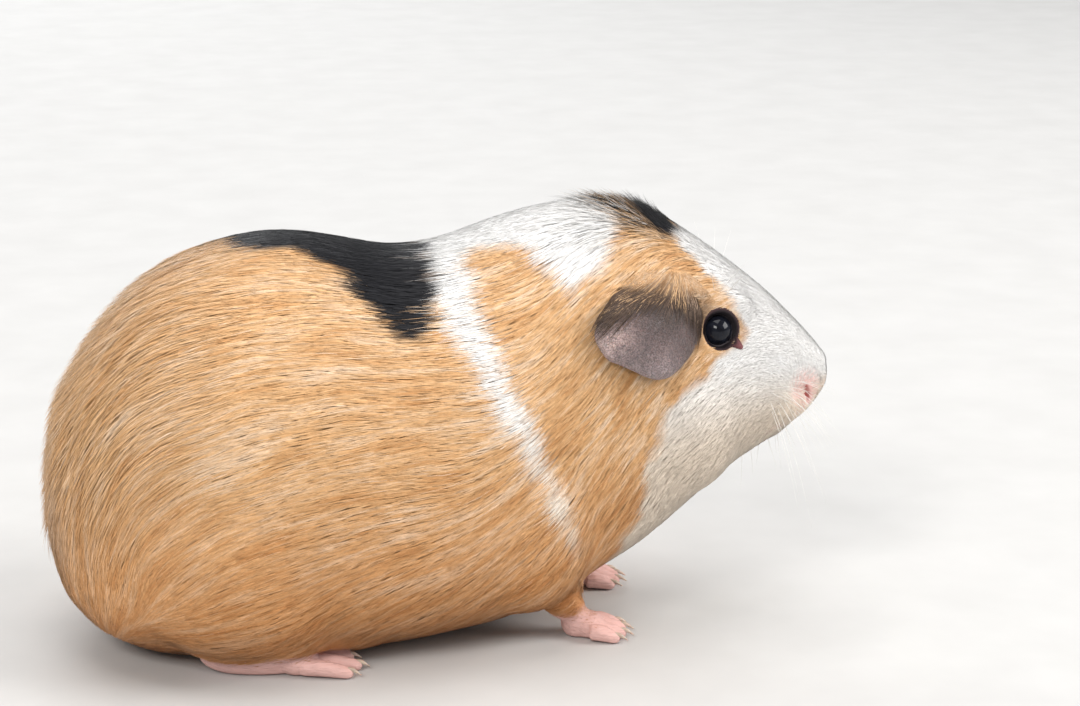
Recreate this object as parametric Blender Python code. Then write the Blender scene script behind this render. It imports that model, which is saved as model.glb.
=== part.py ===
"""Smooth-haired guinea pig, life-size, resting alert on its feet and belly.

Metres, +Z up, nose towards +X and the animal's left side towards +Y. The fur's outer
surface is modelled. Sections run along the body while it is straight, and the front
is then turned at the neck towards the animal's right.
"""

import math

import bmesh
import bpy
import numpy as np
from mathutils import Matrix, Vector
from mathutils.bvhtree import BVHTree

# Room between nodes that touch, and the size of the blocks that cut along a plane
GAP = 0.0003
BLOCK_SIZE = 0.30

# Body sections from rump to nose: place along the body, top of the back, underside,
# half width, height of the widest level
SECTIONS = (
    (-0.1125, 0.0520, 0.0300, 0.0090, 0.0410),
    (-0.1105, 0.0650, 0.0220, 0.0205, 0.0420),
    (-0.1040, 0.0800, 0.0105, 0.0330, 0.0435),
    (-0.0930, 0.0960, 0.0030, 0.0438, 0.0450),
    (-0.0800, 0.1080, -0.0010, 0.0512, 0.0460),
    (-0.0640, 0.1155, -0.0020, 0.0565, 0.0465),
    (-0.0430, 0.1185, -0.0020, 0.0575, 0.0470),
    (-0.0270, 0.1160, -0.0015, 0.0565, 0.0475),
    (-0.0110, 0.1130, -0.0005, 0.0545, 0.0485),
    (0.0020, 0.1145, 0.0010, 0.0520, 0.0495),
    (0.0160, 0.1195, 0.0030, 0.0480, 0.0510),
    (0.0320, 0.1240, 0.0075, 0.0435, 0.0545),
    (0.0480, 0.1258, 0.0165, 0.0380, 0.0590),
    (0.0620, 0.1232, 0.0255, 0.0320, 0.0640),
    (0.0740, 0.1160, 0.0360, 0.0270, 0.0680),
    (0.0870, 0.1065, 0.0475, 0.0215, 0.0705),
    (0.0970, 0.0985, 0.0540, 0.0165, 0.0720),
    (0.1050, 0.0905, 0.0592, 0.0113, 0.0730),
    (0.1110, 0.0841, 0.0644, 0.0069, 0.0740),
    (0.1152, 0.0789, 0.0704, 0.0037, 0.0749),
)
BODY_RINGS = 60
RING_POINTS = 56
BACK_ROUNDNESS = 2.1
BELLY_ROUNDNESS = 2.35

# Turn of the head towards the animal's right
HEAD_TURN = math.radians(-9.0)
TURN_FROM = 0.012
TURN_TO = 0.050
TURN_PIVOT = Vector(((TURN_FROM + TURN_TO) / 2, 0.0, 0.0))

# Masses under the coat: centre for the animal's left side, then radii
HAUNCH = ((-0.0560, 0.0330, 0.0400), (0.0400, 0.0255, 0.0370))
SHOULDER = ((0.0220, 0.0270, 0.0430), (0.0270, 0.0205, 0.0330))
CHEEK = ((0.0660, 0.0142, 0.0640), (0.0240, 0.0160, 0.0245))
BROW = ((0.0805, 0.0128, 0.0967), (0.0120, 0.0062, 0.0068))
UPPER_LIP = ((0.0985, 0.0060, 0.0672), (0.0100, 0.0074, 0.0078))
CHIN = ((0.0950, 0.0000, 0.0590), (0.0090, 0.0070, 0.0055))
FOREARM = ((0.0260, 0.0250, 0.0280), (0.0340, 0.0225, 0.0150), (0.0385, 0.0218, 0.0095))
FOREARM_RADII = (0.0105, 0.0080, 0.0062)

# Flesh surface: grid for fusing the masses, passes that blend them, final triangles
FLESH_GRID = 0.0014
FLESH_BLEND_PASSES = 9
FLESH_TRIANGLES = 4400

# Planes that part head, neck and torso: crown or nape point, throat or chest point
HEAD_PLANE = ((0.0430, 0.1250), (0.0620, 0.0230))
NECK_PLANE = ((0.0110, 0.1200), (0.0490, 0.0090))

# Upper legs, parted from the torso as the muscle that a person would point at
THIGH_REGION = ((-0.0540, 0.0480, 0.0330), (0.0380, 0.0270, 0.0350))
FORELEG_REGION = ((0.0310, 0.0310, 0.0200), (0.0180, 0.0235, 0.0270))

# Eyes
EYE_CENTRE = Vector((0.0812, 0.0170, 0.0912))
EYE_RADIUS = 0.0047
EYE_AXIS = Vector((0.18, 1.0, 0.16)).normalized()
LID_OPENING = 0.0037
LID_MIDDLE = 0.0043
LID_REACH = 0.0012
LID_RISE = 0.0009
LID_STRETCH = 0.95
LID_STEPS_AROUND = 26
LID_SIDES = 8

# Nose and mouth, on the left half of the face
NOSTRIL = ((0.1089, 0.0063, 0.0677), (0.1089, 0.0076, 0.0695), (0.1084, 0.0086, 0.0715))
NOSTRIL_RADII = (0.0008, 0.0014, 0.0008)
CLEFT = ((0.1146, 0.0000, 0.0720), (0.1123, 0.0000, 0.0668), (0.1083, 0.0000, 0.0626))
LIP_LINE = (
    (0.1083, 0.0000, 0.0626),
    (0.1061, 0.0045, 0.0611),
    (0.1015, 0.0077, 0.0599),
    (0.0981, 0.0109, 0.0594),
)
CLEFT_RADII = (0.00064, 0.00064, 0.00064)
LIP_RADII = (0.0008, 0.00068, 0.00056, 0.00044)

# Ears: ends of the root line in the head, the arch that the flap rises over, and its
# free edge from the corner beside the eye round to the one at the back
EAR_ROOT_FRONT = Vector((0.0772, 0.0165, 0.0992))
EAR_ROOT_BACK = Vector((0.0530, 0.0248, 0.1045))
EAR_ARCH_OUT = 0.0120
EAR_ARCH_UP = 0.0040
EAR_EDGE = (
    (0.0762, 0.0212, 0.0918),
    (0.0748, 0.0238, 0.0886),
    (0.0729, 0.0270, 0.0861),
    (0.0692, 0.0310, 0.0829),
    (0.0663, 0.0332, 0.0813),
    (0.0631, 0.0347, 0.0812),
    (0.0599, 0.0358, 0.0823),
    (0.0565, 0.0366, 0.0842),
    (0.0528, 0.0372, 0.0861),
    (0.0495, 0.0375, 0.0877),
    (0.0470, 0.0375, 0.0906),
    (0.0453, 0.0370, 0.0942),
    (0.0464, 0.0350, 0.0978),
    (0.0488, 0.0318, 0.1008),
)
EAR_THICKNESS = 0.0011
EAR_ROOT_THICKNESS = 0.0022
EAR_STEPS_ALONG = 18
EAR_STEPS_OUT = 6
EAR_HOLLOW = ((0.0680, 0.0285, 0.0895), (0.0050, 0.0042, 0.0055))

# Feet: ankle or wrist on the floor, heading away from straight ahead, size of the sole,
# and each toe's place across the foot with its reach
HIND_FOOT = {
    "place": (-0.0680, 0.0335, 0.0),
    "heading": math.radians(9),
    "length": 0.0270,
    "half_width": 0.0062,
    "height": 0.0090,
    "toes": ((-0.0046, 0.0120), (0.0000, 0.0145), (0.0044, 0.0125)),
    "triangles": 400,
}
FORE_FOOT = {
    "place": (0.0370, 0.0215, 0.0),
    "heading": math.radians(4),
    "length": 0.0090,
    "half_width": 0.0052,
    "height": 0.0080,
    "toes": ((-0.0054, 0.0068), (-0.0019, 0.0086), (0.0018, 0.0088), (0.0052, 0.0072)),
    "triangles": 360,
}
FOOT_GRID = 0.0006
FOOT_BLEND_PASSES = 3

# A toe from knuckle to tip, and its claw: radius, then height above the floor at each
# point in toe radii, and how much each toe turns outwards for its place across
TOE_RADII = (0.00242, 0.0023, 0.0018)
TOE_HEIGHTS = (0.00288, 0.00265, 0.00173)
TOE_MIDDLE = 0.55
TOE_SPREAD = 28
CLAW_RADII = (0.00085, 0.00064, 0.00026)
CLAW_START_BACK = 0.00115
CLAW_REACH = (0.0, 0.0029, 0.0053)
CLAW_HEIGHTS = (0.0007, 0.0009, -0.0005)

# Colours with roughness
COAT_ORANGE = ((0.72, 0.42, 0.17), 0.70)
COAT_WHITE = ((0.85, 0.82, 0.78), 0.70)
EAR_SKIN = ((0.34, 0.25, 0.26), 0.60)
FOOT_SKIN = ((0.72, 0.48, 0.43), 0.60)
EYE_DARK = ((0.010, 0.009, 0.012), 0.06)

# Rounding at a tube's ends, as shares of its radius there
TUBE_END_REACH = 0.7
TUBE_END_WIDTH = 0.5

# Edges sharper than this stay sharp, and points closer than this are one
SHARP_EDGE = math.radians(50)
SAME_POINT = 1e-6

SIDES = (("right", -1), ("left", 1))


def clear_scene():
    for obj in list(bpy.data.objects):
        bpy.data.objects.remove(obj)


def material(name, look):
    """A Principled material with a colour and a roughness."""
    colour, roughness = look
    made = bpy.data.materials.new(name)
    made.use_nodes = True
    shader = made.node_tree.nodes["Principled BSDF"]
    shader.inputs["Base Color"].default_value = (*colour, 1.0)
    shader.inputs["Roughness"].default_value = roughness
    shader.inputs["Metallic"].default_value = 0.0
    made.diffuse_color = (*colour, 1.0)
    return made


def add_object(name, mesh):
    obj = bpy.data.objects.new(name, mesh)
    bpy.context.scene.collection.objects.link(obj)
    return obj


def mesh_object(name, points, faces):
    """A closed mesh from points and faces, with its faces turned outwards."""
    mesh = bpy.data.meshes.new(name)
    mesh.from_pydata([tuple(p) for p in points], [], faces)
    bm = bmesh.new()
    bm.from_mesh(mesh)
    bmesh.ops.recalc_face_normals(bm, faces=bm.faces)
    bm.to_mesh(mesh)
    bm.free()
    return add_object(name, mesh)


def apply_modifiers(obj):
    """Replaces the object's mesh with what its modifiers make of it."""
    bpy.context.view_layer.update()
    graph = bpy.context.evaluated_depsgraph_get()
    mesh = bpy.data.meshes.new_from_object(obj.evaluated_get(graph))
    obj.modifiers.clear()
    obj.data = mesh
    return obj


def boolean(obj, tool, operation, keep_tool=False):
    """Applies one Boolean with another object, which is then removed."""
    modifier = obj.modifiers.new("Boolean", "BOOLEAN")
    modifier.operation = operation
    modifier.solver = "EXACT"
    modifier.object = tool
    apply_modifiers(obj)
    if not keep_tool:
        bpy.data.objects.remove(tool)
    return obj


def unite(obj, pieces):
    """One union of the object with a collection of closed pieces, which are then removed."""
    group = bpy.data.collections.new("pieces")
    bpy.context.scene.collection.children.link(group)
    for piece in pieces:
        group.objects.link(piece)
    modifier = obj.modifiers.new("Union", "BOOLEAN")
    modifier.operation = "UNION"
    modifier.solver = "EXACT"
    modifier.operand_type = "COLLECTION"
    modifier.collection = group
    apply_modifiers(obj)
    for piece in pieces:
        bpy.data.objects.remove(piece)
    bpy.data.collections.remove(group)
    return obj


def copy_of(obj, name):
    return add_object(name, obj.data.copy())


def keep_largest(obj):
    """Drops loose scraps, so that the object is one closed surface."""
    bm = bmesh.new()
    bm.from_mesh(obj.data)
    left = set(bm.verts)
    shells = []
    while left:
        shell = {left.pop()}
        edge = list(shell)
        while edge:
            vert = edge.pop()
            for link in vert.link_edges:
                other = link.other_vert(vert)
                if other in left:
                    left.remove(other)
                    shell.add(other)
                    edge.append(other)
        shells.append(shell)
    shells.sort(key=len)
    for shell in shells[:-1]:
        bmesh.ops.delete(bm, geom=list(shell), context="VERTS")
    bm.to_mesh(obj.data)
    bm.free()
    return obj


def inflated(obj, name, distance):
    """A copy whose surface stands out by a distance all round."""
    grown = copy_of(obj, name)
    bm = bmesh.new()
    bm.from_mesh(grown.data)
    bm.normal_update()
    for vert in bm.verts:
        vert.co += vert.normal * distance
    bm.to_mesh(grown.data)
    bm.free()
    return grown


def transform(obj, matrix):
    obj.data.transform(matrix)
    if matrix.determinant() < 0:
        obj.data.flip_normals()
    return obj


def mirrored(point, side):
    return Vector((point[0], point[1] * side, point[2]))


def curve_through(rows, places):
    """Rows of values on one smooth curve through the given rows, by their first column."""
    rows = np.array(rows)
    known = rows[:, 0]
    slopes = np.gradient(rows, known, axis=0)
    index = np.clip(np.searchsorted(known, places) - 1, 0, len(known) - 2)
    span = (known[index + 1] - known[index])[:, None]
    t = (places - known[index])[:, None] / span
    before = (2 * t**3 - 3 * t**2 + 1) * rows[index] + (t**3 - 2 * t**2 + t) * span * slopes[index]
    after = (3 * t**2 - 2 * t**3) * rows[index + 1] + (t**3 - t**2) * span * slopes[index + 1]
    return before + after


def body_loft():
    """The whole form from rump to nose as rings, rounder above than below."""
    start, end = SECTIONS[0][0], SECTIONS[-1][0]
    turn = np.linspace(0, math.pi, BODY_RINGS)
    places = (start + end) / 2 - (end - start) / 2 * np.cos(turn)
    points = []
    for place, top, bottom, half_width, widest in curve_through(SECTIONS, places):
        for step in range(RING_POINTS):
            angle = 2 * math.pi * step / RING_POINTS
            across, up = math.cos(angle), math.sin(angle)
            power = 2 / (BACK_ROUNDNESS if up >= 0 else BELLY_ROUNDNESS)
            reach = top - widest if up >= 0 else widest - bottom
            y = half_width * math.copysign(abs(across) ** power, across)
            z = widest + reach * math.copysign(abs(up) ** power, up)
            points.append((place, y, z))
    faces = []
    for ring in range(BODY_RINGS - 1):
        for step in range(RING_POINTS):
            after = (step + 1) % RING_POINTS
            here, there = ring * RING_POINTS, (ring + 1) * RING_POINTS
            faces.append((here + step, here + after, there + after, there + step))
    faces.append(tuple(range(RING_POINTS)))
    last = (BODY_RINGS - 1) * RING_POINTS
    faces.append(tuple(last + step for step in reversed(range(RING_POINTS))))
    return mesh_object("body_loft", points, faces)


def ellipsoid(name, centre, radii, detail=4):
    mesh = bpy.data.meshes.new(name)
    bm = bmesh.new()
    bmesh.ops.create_icosphere(bm, subdivisions=detail, radius=1.0)
    bm.to_mesh(mesh)
    bm.free()
    obj = add_object(name, mesh)
    return transform(obj, Matrix.Translation(centre) @ Matrix.Diagonal((*radii, 1.0)))


def tube(name, path, radii, sides=8):
    """A closed round tube along a path, with a radius at each point and rounded ends."""
    path = [Vector(p) for p in path]
    first_way = (path[1] - path[0]).normalized()
    last_way = (path[-1] - path[-2]).normalized()
    first_end = path[0] - first_way * radii[0] * TUBE_END_REACH
    last_end = path[-1] + last_way * radii[-1] * TUBE_END_REACH
    path = [first_end, *path, last_end]
    radii = [radii[0] * TUBE_END_WIDTH, *radii, radii[-1] * TUBE_END_WIDTH]
    points = []
    side = first_way.orthogonal().normalized()
    for index, (centre, radius) in enumerate(zip(path, radii)):
        way = (path[min(index + 1, len(path) - 1)] - path[max(index - 1, 0)]).normalized()
        side = (side - way * side.dot(way)).normalized()
        other = way.cross(side)
        for step in range(sides):
            angle = 2 * math.pi * step / sides
            points.append(centre + (side * math.cos(angle) + other * math.sin(angle)) * radius)
    faces = []
    for ring in range(len(path) - 1):
        for step in range(sides):
            after = (step + 1) % sides
            here, there = ring * sides, (ring + 1) * sides
            faces.append((here + step, here + after, there + after, there + step))
    faces.append(tuple(range(sides)))
    last = (len(path) - 1) * sides
    faces.append(tuple(last + step for step in reversed(range(sides))))
    return mesh_object(name, points, faces)


def turn_front(obj):
    """Turns what lies in front of the neck towards the animal's right."""
    for vert in obj.data.vertices:
        share = (vert.co.x - TURN_FROM) / (TURN_TO - TURN_FROM)
        share = min(max(share, 0.0), 1.0)
        angle = HEAD_TURN * share * share * (3 - 2 * share)
        vert.co = TURN_PIVOT + Matrix.Rotation(angle, 3, "Z") @ (vert.co - TURN_PIVOT)
    return obj


def head_matrix():
    """Where the turned head is: every feature of the face is placed through this."""
    back = Matrix.Translation(-TURN_PIVOT)
    return Matrix.Translation(TURN_PIVOT) @ Matrix.Rotation(HEAD_TURN, 4, "Z") @ back


def fused(name, pieces, grid, passes, triangles, even_sides=False):
    """Overlapping closed pieces fused into one smooth skin of about that many triangles."""
    bm = bmesh.new()
    for piece in pieces:
        bm.from_mesh(piece.data)
        bpy.data.objects.remove(piece)
    mesh = bpy.data.meshes.new(name)
    bm.to_mesh(mesh)
    bm.free()
    obj = add_object(name, mesh)
    remesh = obj.modifiers.new("Fuse", "REMESH")
    remesh.mode = "VOXEL"
    remesh.voxel_size = grid
    smooth = obj.modifiers.new("Blend", "SMOOTH")
    smooth.factor = 0.5
    smooth.iterations = passes
    triangulate = obj.modifiers.new("Triangles", "TRIANGULATE")
    triangulate.quad_method = "SHORTEST_DIAGONAL"
    apply_modifiers(obj)
    decimate = obj.modifiers.new("Fewer", "DECIMATE")
    decimate.ratio = triangles / len(obj.data.polygons)
    decimate.use_symmetry = even_sides
    decimate.symmetry_axis = "Y"
    return apply_modifiers(obj)


def flesh():
    """Body, head and muscle masses as one skin, still straight from nose to rump."""
    pieces = [body_loft(), ellipsoid("chin", *CHIN)]
    masses = (("haunch", HAUNCH), ("shoulder", SHOULDER), ("cheek", CHEEK))
    masses += (("brow", BROW), ("upper_lip", UPPER_LIP))
    for name, (centre, radii) in masses:
        for _, side in SIDES:
            pieces.append(ellipsoid(name, mirrored(centre, side), radii))
    for _, side in SIDES:
        path = [mirrored(point, side) for point in FOREARM]
        pieces.append(tube("forearm", path, FOREARM_RADII, sides=16))
    return fused("flesh", pieces, FLESH_GRID, FLESH_BLEND_PASSES, FLESH_TRIANGLES, True)


def eyeball(name, side, grow=0.0):
    centre = head_matrix() @ mirrored(EYE_CENTRE, side)
    radius = EYE_RADIUS + grow
    return ellipsoid(name, centre, (radius, radius, radius), detail=3)


def lids(side):
    """The rim of both lids, a soft oval ring that lies on the eyeball."""
    axis = mirrored(EYE_AXIS, side)
    ahead = (Vector((1, 0, 0)) - axis * axis.x).normalized()
    up = ahead.cross(axis) * side
    plane = math.sqrt(EYE_RADIUS**2 - LID_OPENING**2)
    centre = mirrored(EYE_CENTRE, side) + axis * plane
    points = []
    for step in range(LID_STEPS_AROUND):
        angle = 2 * math.pi * step / LID_STEPS_AROUND
        spoke = ahead * math.cos(angle) * LID_STRETCH + up * math.sin(angle)
        for turn in range(LID_SIDES):
            tilt = 2 * math.pi * turn / LID_SIDES
            reach = LID_MIDDLE + LID_REACH * math.cos(tilt)
            points.append(centre + spoke * reach + axis * LID_RISE * math.sin(tilt))
    faces = []
    for step in range(LID_STEPS_AROUND):
        here, there = step * LID_SIDES, (step + 1) % LID_STEPS_AROUND * LID_SIDES
        for turn in range(LID_SIDES):
            after = (turn + 1) % LID_SIDES
            faces.append((here + turn, here + after, there + after, there + turn))
    return transform(mesh_object("lids", points, faces), head_matrix())


def groove(name, tree, path, radii):
    """A cutter that runs along the skin, with its centre line on the surface."""
    path = [tree.find_nearest(head_matrix() @ Vector(point))[0] for point in path]
    return tube(name, path, radii)


def carve_face(obj):
    """Lids, nostrils, the cleft under the nose, the line of the mouth and the ear's hollow."""
    unite(obj, [lids(side) for _, side in SIDES])
    tree = BVHTree.FromObject(obj, bpy.context.evaluated_depsgraph_get())
    boolean(obj, groove("cleft", tree, CLEFT, CLEFT_RADII), "DIFFERENCE")
    for _, side in SIDES:
        nostril = [mirrored(point, side) for point in NOSTRIL]
        boolean(obj, groove("nostril", tree, nostril, NOSTRIL_RADII), "DIFFERENCE")
        lip_line = [mirrored(point, side) for point in LIP_LINE]
        boolean(obj, groove("lip_line", tree, lip_line, LIP_RADII), "DIFFERENCE")
        hollow = ellipsoid("hollow", mirrored(EAR_HOLLOW[0], side), EAR_HOLLOW[1], detail=3)
        boolean(obj, transform(hollow, head_matrix()), "DIFFERENCE")
        boolean(obj, eyeball("socket", side, GAP), "DIFFERENCE")
    return obj


def ear_edge(share):
    """A point of the ear's free edge, from its front root corner round to its back one."""
    edge = np.array(EAR_EDGE)
    steps = np.linalg.norm(np.diff(edge, axis=0), axis=1)
    along = np.concatenate([[0.0], np.cumsum(steps)])
    rows = np.column_stack([along / along[-1], edge])
    return Vector(curve_through(rows, np.array([share]))[0][1:])


def ear_point(share, out):
    """A point of the ear's outer face: share runs front to back, out runs root to edge."""
    root = EAR_ROOT_FRONT.lerp(EAR_ROOT_BACK, share)
    edge = ear_edge(share)
    middle = (root + edge) / 2
    swell = math.sin(math.pi * share)
    top = max(root.z, edge.z) + EAR_ARCH_UP
    arch = Vector((middle.x, middle.y + EAR_ARCH_OUT * swell, middle.z + (top - middle.z) * swell))
    return root * (1 - out) ** 2 + arch * 2 * out * (1 - out) + edge * out**2


def ear(name, side):
    """A petal that arches out of the head and droops, with the same triangles on both faces."""
    rows, columns = EAR_STEPS_ALONG + 1, EAR_STEPS_OUT + 1
    small = 1e-4
    outer, inner = [], []
    for row in range(rows):
        for column in range(columns):
            share, out = row / EAR_STEPS_ALONG, column / EAR_STEPS_OUT
            point = ear_point(share, out)
            slope_out = ear_point(share, out + small) - ear_point(share, out - small)
            slope_along = ear_point(share + small, out) - ear_point(share - small, out)
            normal = slope_out.cross(slope_along).normalized()
            thick = EAR_THICKNESS + (EAR_ROOT_THICKNESS - EAR_THICKNESS) * (1 - out) ** 2
            outer.append(point + normal * thick / 2)
            inner.append(point - normal * thick / 2)
    count = len(outer)
    faces = []
    for row in range(rows - 1):
        for column in range(columns - 1):
            a, b = row * columns + column, row * columns + column + 1
            c, d = a + columns + 1, a + columns
            faces += [(a, b, c), (a, c, d)]
            faces += [(count + a, count + c, count + b), (count + a, count + d, count + c)]
    rim = [column for column in range(columns)]
    rim += [row * columns + columns - 1 for row in range(1, rows)]
    rim += [(rows - 1) * columns + column for column in reversed(range(columns - 1))]
    rim += [row * columns for row in reversed(range(1, rows - 1))]
    for here, there in zip(rim, rim[1:] + rim[:1]):
        faces += [(here, there, count + there), (here, count + there, count + here)]
    obj = mesh_object(name, outer + inner, faces)
    return transform(obj, head_matrix() @ Matrix.Diagonal((1, side, 1, 1)))


def toe_with_claw(base, way, reach):
    """One toe from its knuckle, and the claw that grows out of it."""
    up = Vector((0, 0, 1))
    shares = (0, TOE_MIDDLE, 1)
    toe_path = [base + way * reach * share + up * high for share, high in zip(shares, TOE_HEIGHTS)]
    start = toe_path[-1] - way * CLAW_START_BACK
    claw_path = [start + way * out + up * high for out, high in zip(CLAW_REACH, CLAW_HEIGHTS)]
    return tube("toe", toe_path, TOE_RADII, sides=10), tube("claw", claw_path, CLAW_RADII, sides=6)


def foot(name, form, side):
    """A foot flat on the floor: sole, ball and toes fused, with claws joined to the toes."""
    length, half_width, height = form["length"], form["half_width"], form["height"]
    pad = Vector((length * 0.45, 0, height * 0.50))
    ball = Vector((length * 0.85, 0, height * 0.42))
    pieces = [
        ellipsoid("sole", pad, (length * 0.62, half_width * 0.88, height * 0.62)),
        ellipsoid("ball", ball, (half_width * 0.95, half_width * 1.05, height * 0.50)),
    ]
    claws = []
    for across, reach in form["toes"]:
        base = Vector((length * 0.92, across, 0))
        way = Vector((1, across * TOE_SPREAD, 0)).normalized()
        toe, claw = toe_with_claw(base, way, reach)
        pieces.append(toe)
        claws.append(claw)
    obj = fused(name, pieces, FOOT_GRID, FOOT_BLEND_PASSES, form["triangles"])
    unite(obj, claws)
    turn = Matrix.Rotation(form["heading"], 4, "Z")
    moved = Matrix.Diagonal((1, side, 1, 1)) @ Matrix.Translation(form["place"]) @ turn
    return transform(obj, moved)


def half_space(name, point, normal):
    """A block with one face through the point, on the side that the normal points to."""
    normal = Vector(normal).normalized()
    mesh = bpy.data.meshes.new(name)
    bm = bmesh.new()
    bmesh.ops.create_cube(bm, size=2 * BLOCK_SIZE)
    bm.to_mesh(mesh)
    bm.free()
    turn = normal.to_track_quat("Z", "Y").to_matrix().to_4x4()
    moved = Matrix.Translation(Vector(point) + normal * BLOCK_SIZE) @ turn
    return transform(add_object(name, mesh), moved)


def part_off(whole, name, region, grown):
    """Takes the region out of the whole as its own node, with a gap round it."""
    piece = boolean(copy_of(whole, name), region, "INTERSECT")
    boolean(whole, grown, "DIFFERENCE")
    return keep_largest(piece)


def part_by_plane(whole, name, line):
    """Parts off what lies in front of a slanting plane through two points of the profile."""
    (top_x, top_z), (low_x, low_z) = line
    top, low = Vector((top_x, 0, top_z)), Vector((low_x, 0, low_z))
    normal = Vector((top_z - low_z, 0, low_x - top_x)).normalized()
    normal = Matrix.Rotation(HEAD_TURN / 2, 3, "Z") @ normal
    middle = (top + low) / 2
    region = half_space("region", middle + normal * GAP / 2, normal)
    grown = half_space("grown", middle - normal * GAP / 2, normal)
    return part_off(whole, name, region, grown)


def part_by_ellipsoid(whole, name, shape, side):
    centre, radii = shape
    centre = mirrored(centre, side)
    region = ellipsoid("region", centre, radii, detail=3)
    grown = ellipsoid("grown", centre, [radius + GAP for radius in radii], detail=3)
    return part_off(whole, name, region, grown)


def cut_at_floor(obj):
    return boolean(obj, half_space("floor", (0, 0, 0), (0, 0, -1)), "DIFFERENCE")


def finish(obj, look):
    """One closed surface, faces outwards, smooth but for its cut edges, with its material."""
    keep_largest(obj)
    bm = bmesh.new()
    bm.from_mesh(obj.data)
    bmesh.ops.remove_doubles(bm, verts=bm.verts, dist=SAME_POINT)
    bmesh.ops.triangulate(bm, faces=bm.faces)
    bmesh.ops.recalc_face_normals(bm, faces=bm.faces)
    bm.to_mesh(obj.data)
    bm.free()
    obj.data.shade_smooth()
    obj.data.set_sharp_from_angle(angle=SHARP_EDGE)
    obj.data.materials.clear()
    obj.data.materials.append(look)
    return obj


def centre_on_floor(nodes):
    """Moves all nodes so that the origin is under the middle of the model, on the floor."""
    corners = np.array([vert.co for node in nodes for vert in node.data.vertices])
    middle = (corners.min(axis=0) + corners.max(axis=0)) / 2
    for node in nodes:
        node.data.transform(Matrix.Translation((-middle[0], -middle[1], 0)))


def make_feet():
    """All four feet, the front ones turned with what they stand under."""
    feet = []
    for word, side in SIDES:
        feet.append(foot(f"hind_foot_{word}", HIND_FOOT, side))
        feet.append(turn_front(foot(f"front_foot_{word}", FORE_FOOT, side)))
    return [cut_at_floor(made) for made in feet]


def main():
    clear_scene()
    orange = material("coat_orange", COAT_ORANGE)
    white = material("coat_white", COAT_WHITE)
    ear_skin = material("ear_skin", EAR_SKIN)
    foot_skin = material("foot_skin", FOOT_SKIN)
    eye_dark = material("eye_dark", EYE_DARK)

    torso = turn_front(flesh())
    torso.name = "torso"
    carve_face(torso)
    cut_at_floor(torso)
    feet = make_feet()
    ears = [ear(f"ear_{word}", side) for word, side in SIDES]
    for piece in feet + ears:
        boolean(torso, inflated(piece, "room", GAP), "DIFFERENCE")
    eyes = [eyeball(f"eye_{word}", side) for word, side in SIDES]

    head = part_by_plane(torso, "head", HEAD_PLANE)
    neck = part_by_plane(torso, "neck", NECK_PLANE)
    legs = []
    for word, side in SIDES:
        legs.append(part_by_ellipsoid(torso, f"thigh_{word}", THIGH_REGION, side))
        legs.append(part_by_ellipsoid(torso, f"front_leg_{word}", FORELEG_REGION, side))

    looks = [(torso, orange), (neck, orange), (head, white)]
    looks += [(leg, orange) for leg in legs]
    looks += [(made, foot_skin) for made in feet]
    looks += [(made, ear_skin) for made in ears]
    looks += [(made, eye_dark) for made in eyes]
    for node, look in looks:
        finish(node, look)
    centre_on_floor([node for node, _ in looks])


main()
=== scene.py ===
import math
from itertools import product

import bmesh
import bpy
import numpy as np
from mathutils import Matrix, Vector
from mathutils.bvhtree import BVHTree
from mathutils.kdtree import KDTree


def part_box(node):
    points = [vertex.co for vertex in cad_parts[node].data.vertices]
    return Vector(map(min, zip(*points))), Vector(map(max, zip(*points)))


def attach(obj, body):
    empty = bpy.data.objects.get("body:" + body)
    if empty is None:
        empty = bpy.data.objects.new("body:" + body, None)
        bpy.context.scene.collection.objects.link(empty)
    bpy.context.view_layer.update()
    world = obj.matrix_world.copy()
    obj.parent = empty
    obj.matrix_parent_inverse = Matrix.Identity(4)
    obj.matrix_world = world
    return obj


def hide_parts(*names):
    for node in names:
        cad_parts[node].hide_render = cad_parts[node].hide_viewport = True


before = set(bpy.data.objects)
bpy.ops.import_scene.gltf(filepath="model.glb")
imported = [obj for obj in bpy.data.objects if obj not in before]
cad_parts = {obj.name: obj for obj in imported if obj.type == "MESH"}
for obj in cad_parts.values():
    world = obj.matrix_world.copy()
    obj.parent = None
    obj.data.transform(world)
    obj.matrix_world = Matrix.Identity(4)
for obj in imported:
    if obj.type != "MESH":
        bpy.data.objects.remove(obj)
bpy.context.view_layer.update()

# Metres throughout, nose towards +X, the animal's left side towards +Y. Patches, lie and
# length of the coat are drawn on the straight body, before the head is turned.

SIDES = (("right", -1), ("left", 1))

# Camera: on the animal's right, a little behind its middle, looking down
CAMERA_AZIMUTH = math.radians(-10.0)
CAMERA_ELEVATION = math.radians(15.0)
CAMERA_DISTANCE = 0.765
CAMERA_AIM = (0.0335, 0.0147, 0.0759)
CAMERA_LENS = 85.0

# Turn of the head towards the animal's right
HEAD_TURN = math.radians(-9.0)
TURN_FROM = 0.012
TURN_TO = 0.050
TURN_PIVOT = np.array(((TURN_FROM + TURN_TO) / 2, 0.0, 0.0))

# Height of the body's axis from rump to nose
AXIS_PLACES = (-0.1125, -0.060, 0.000, 0.032, 0.062, 0.087, 0.115)
AXIS_HEIGHTS = (0.0410, 0.0465, 0.0495, 0.0545, 0.0640, 0.0705, 0.0740)

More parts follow.
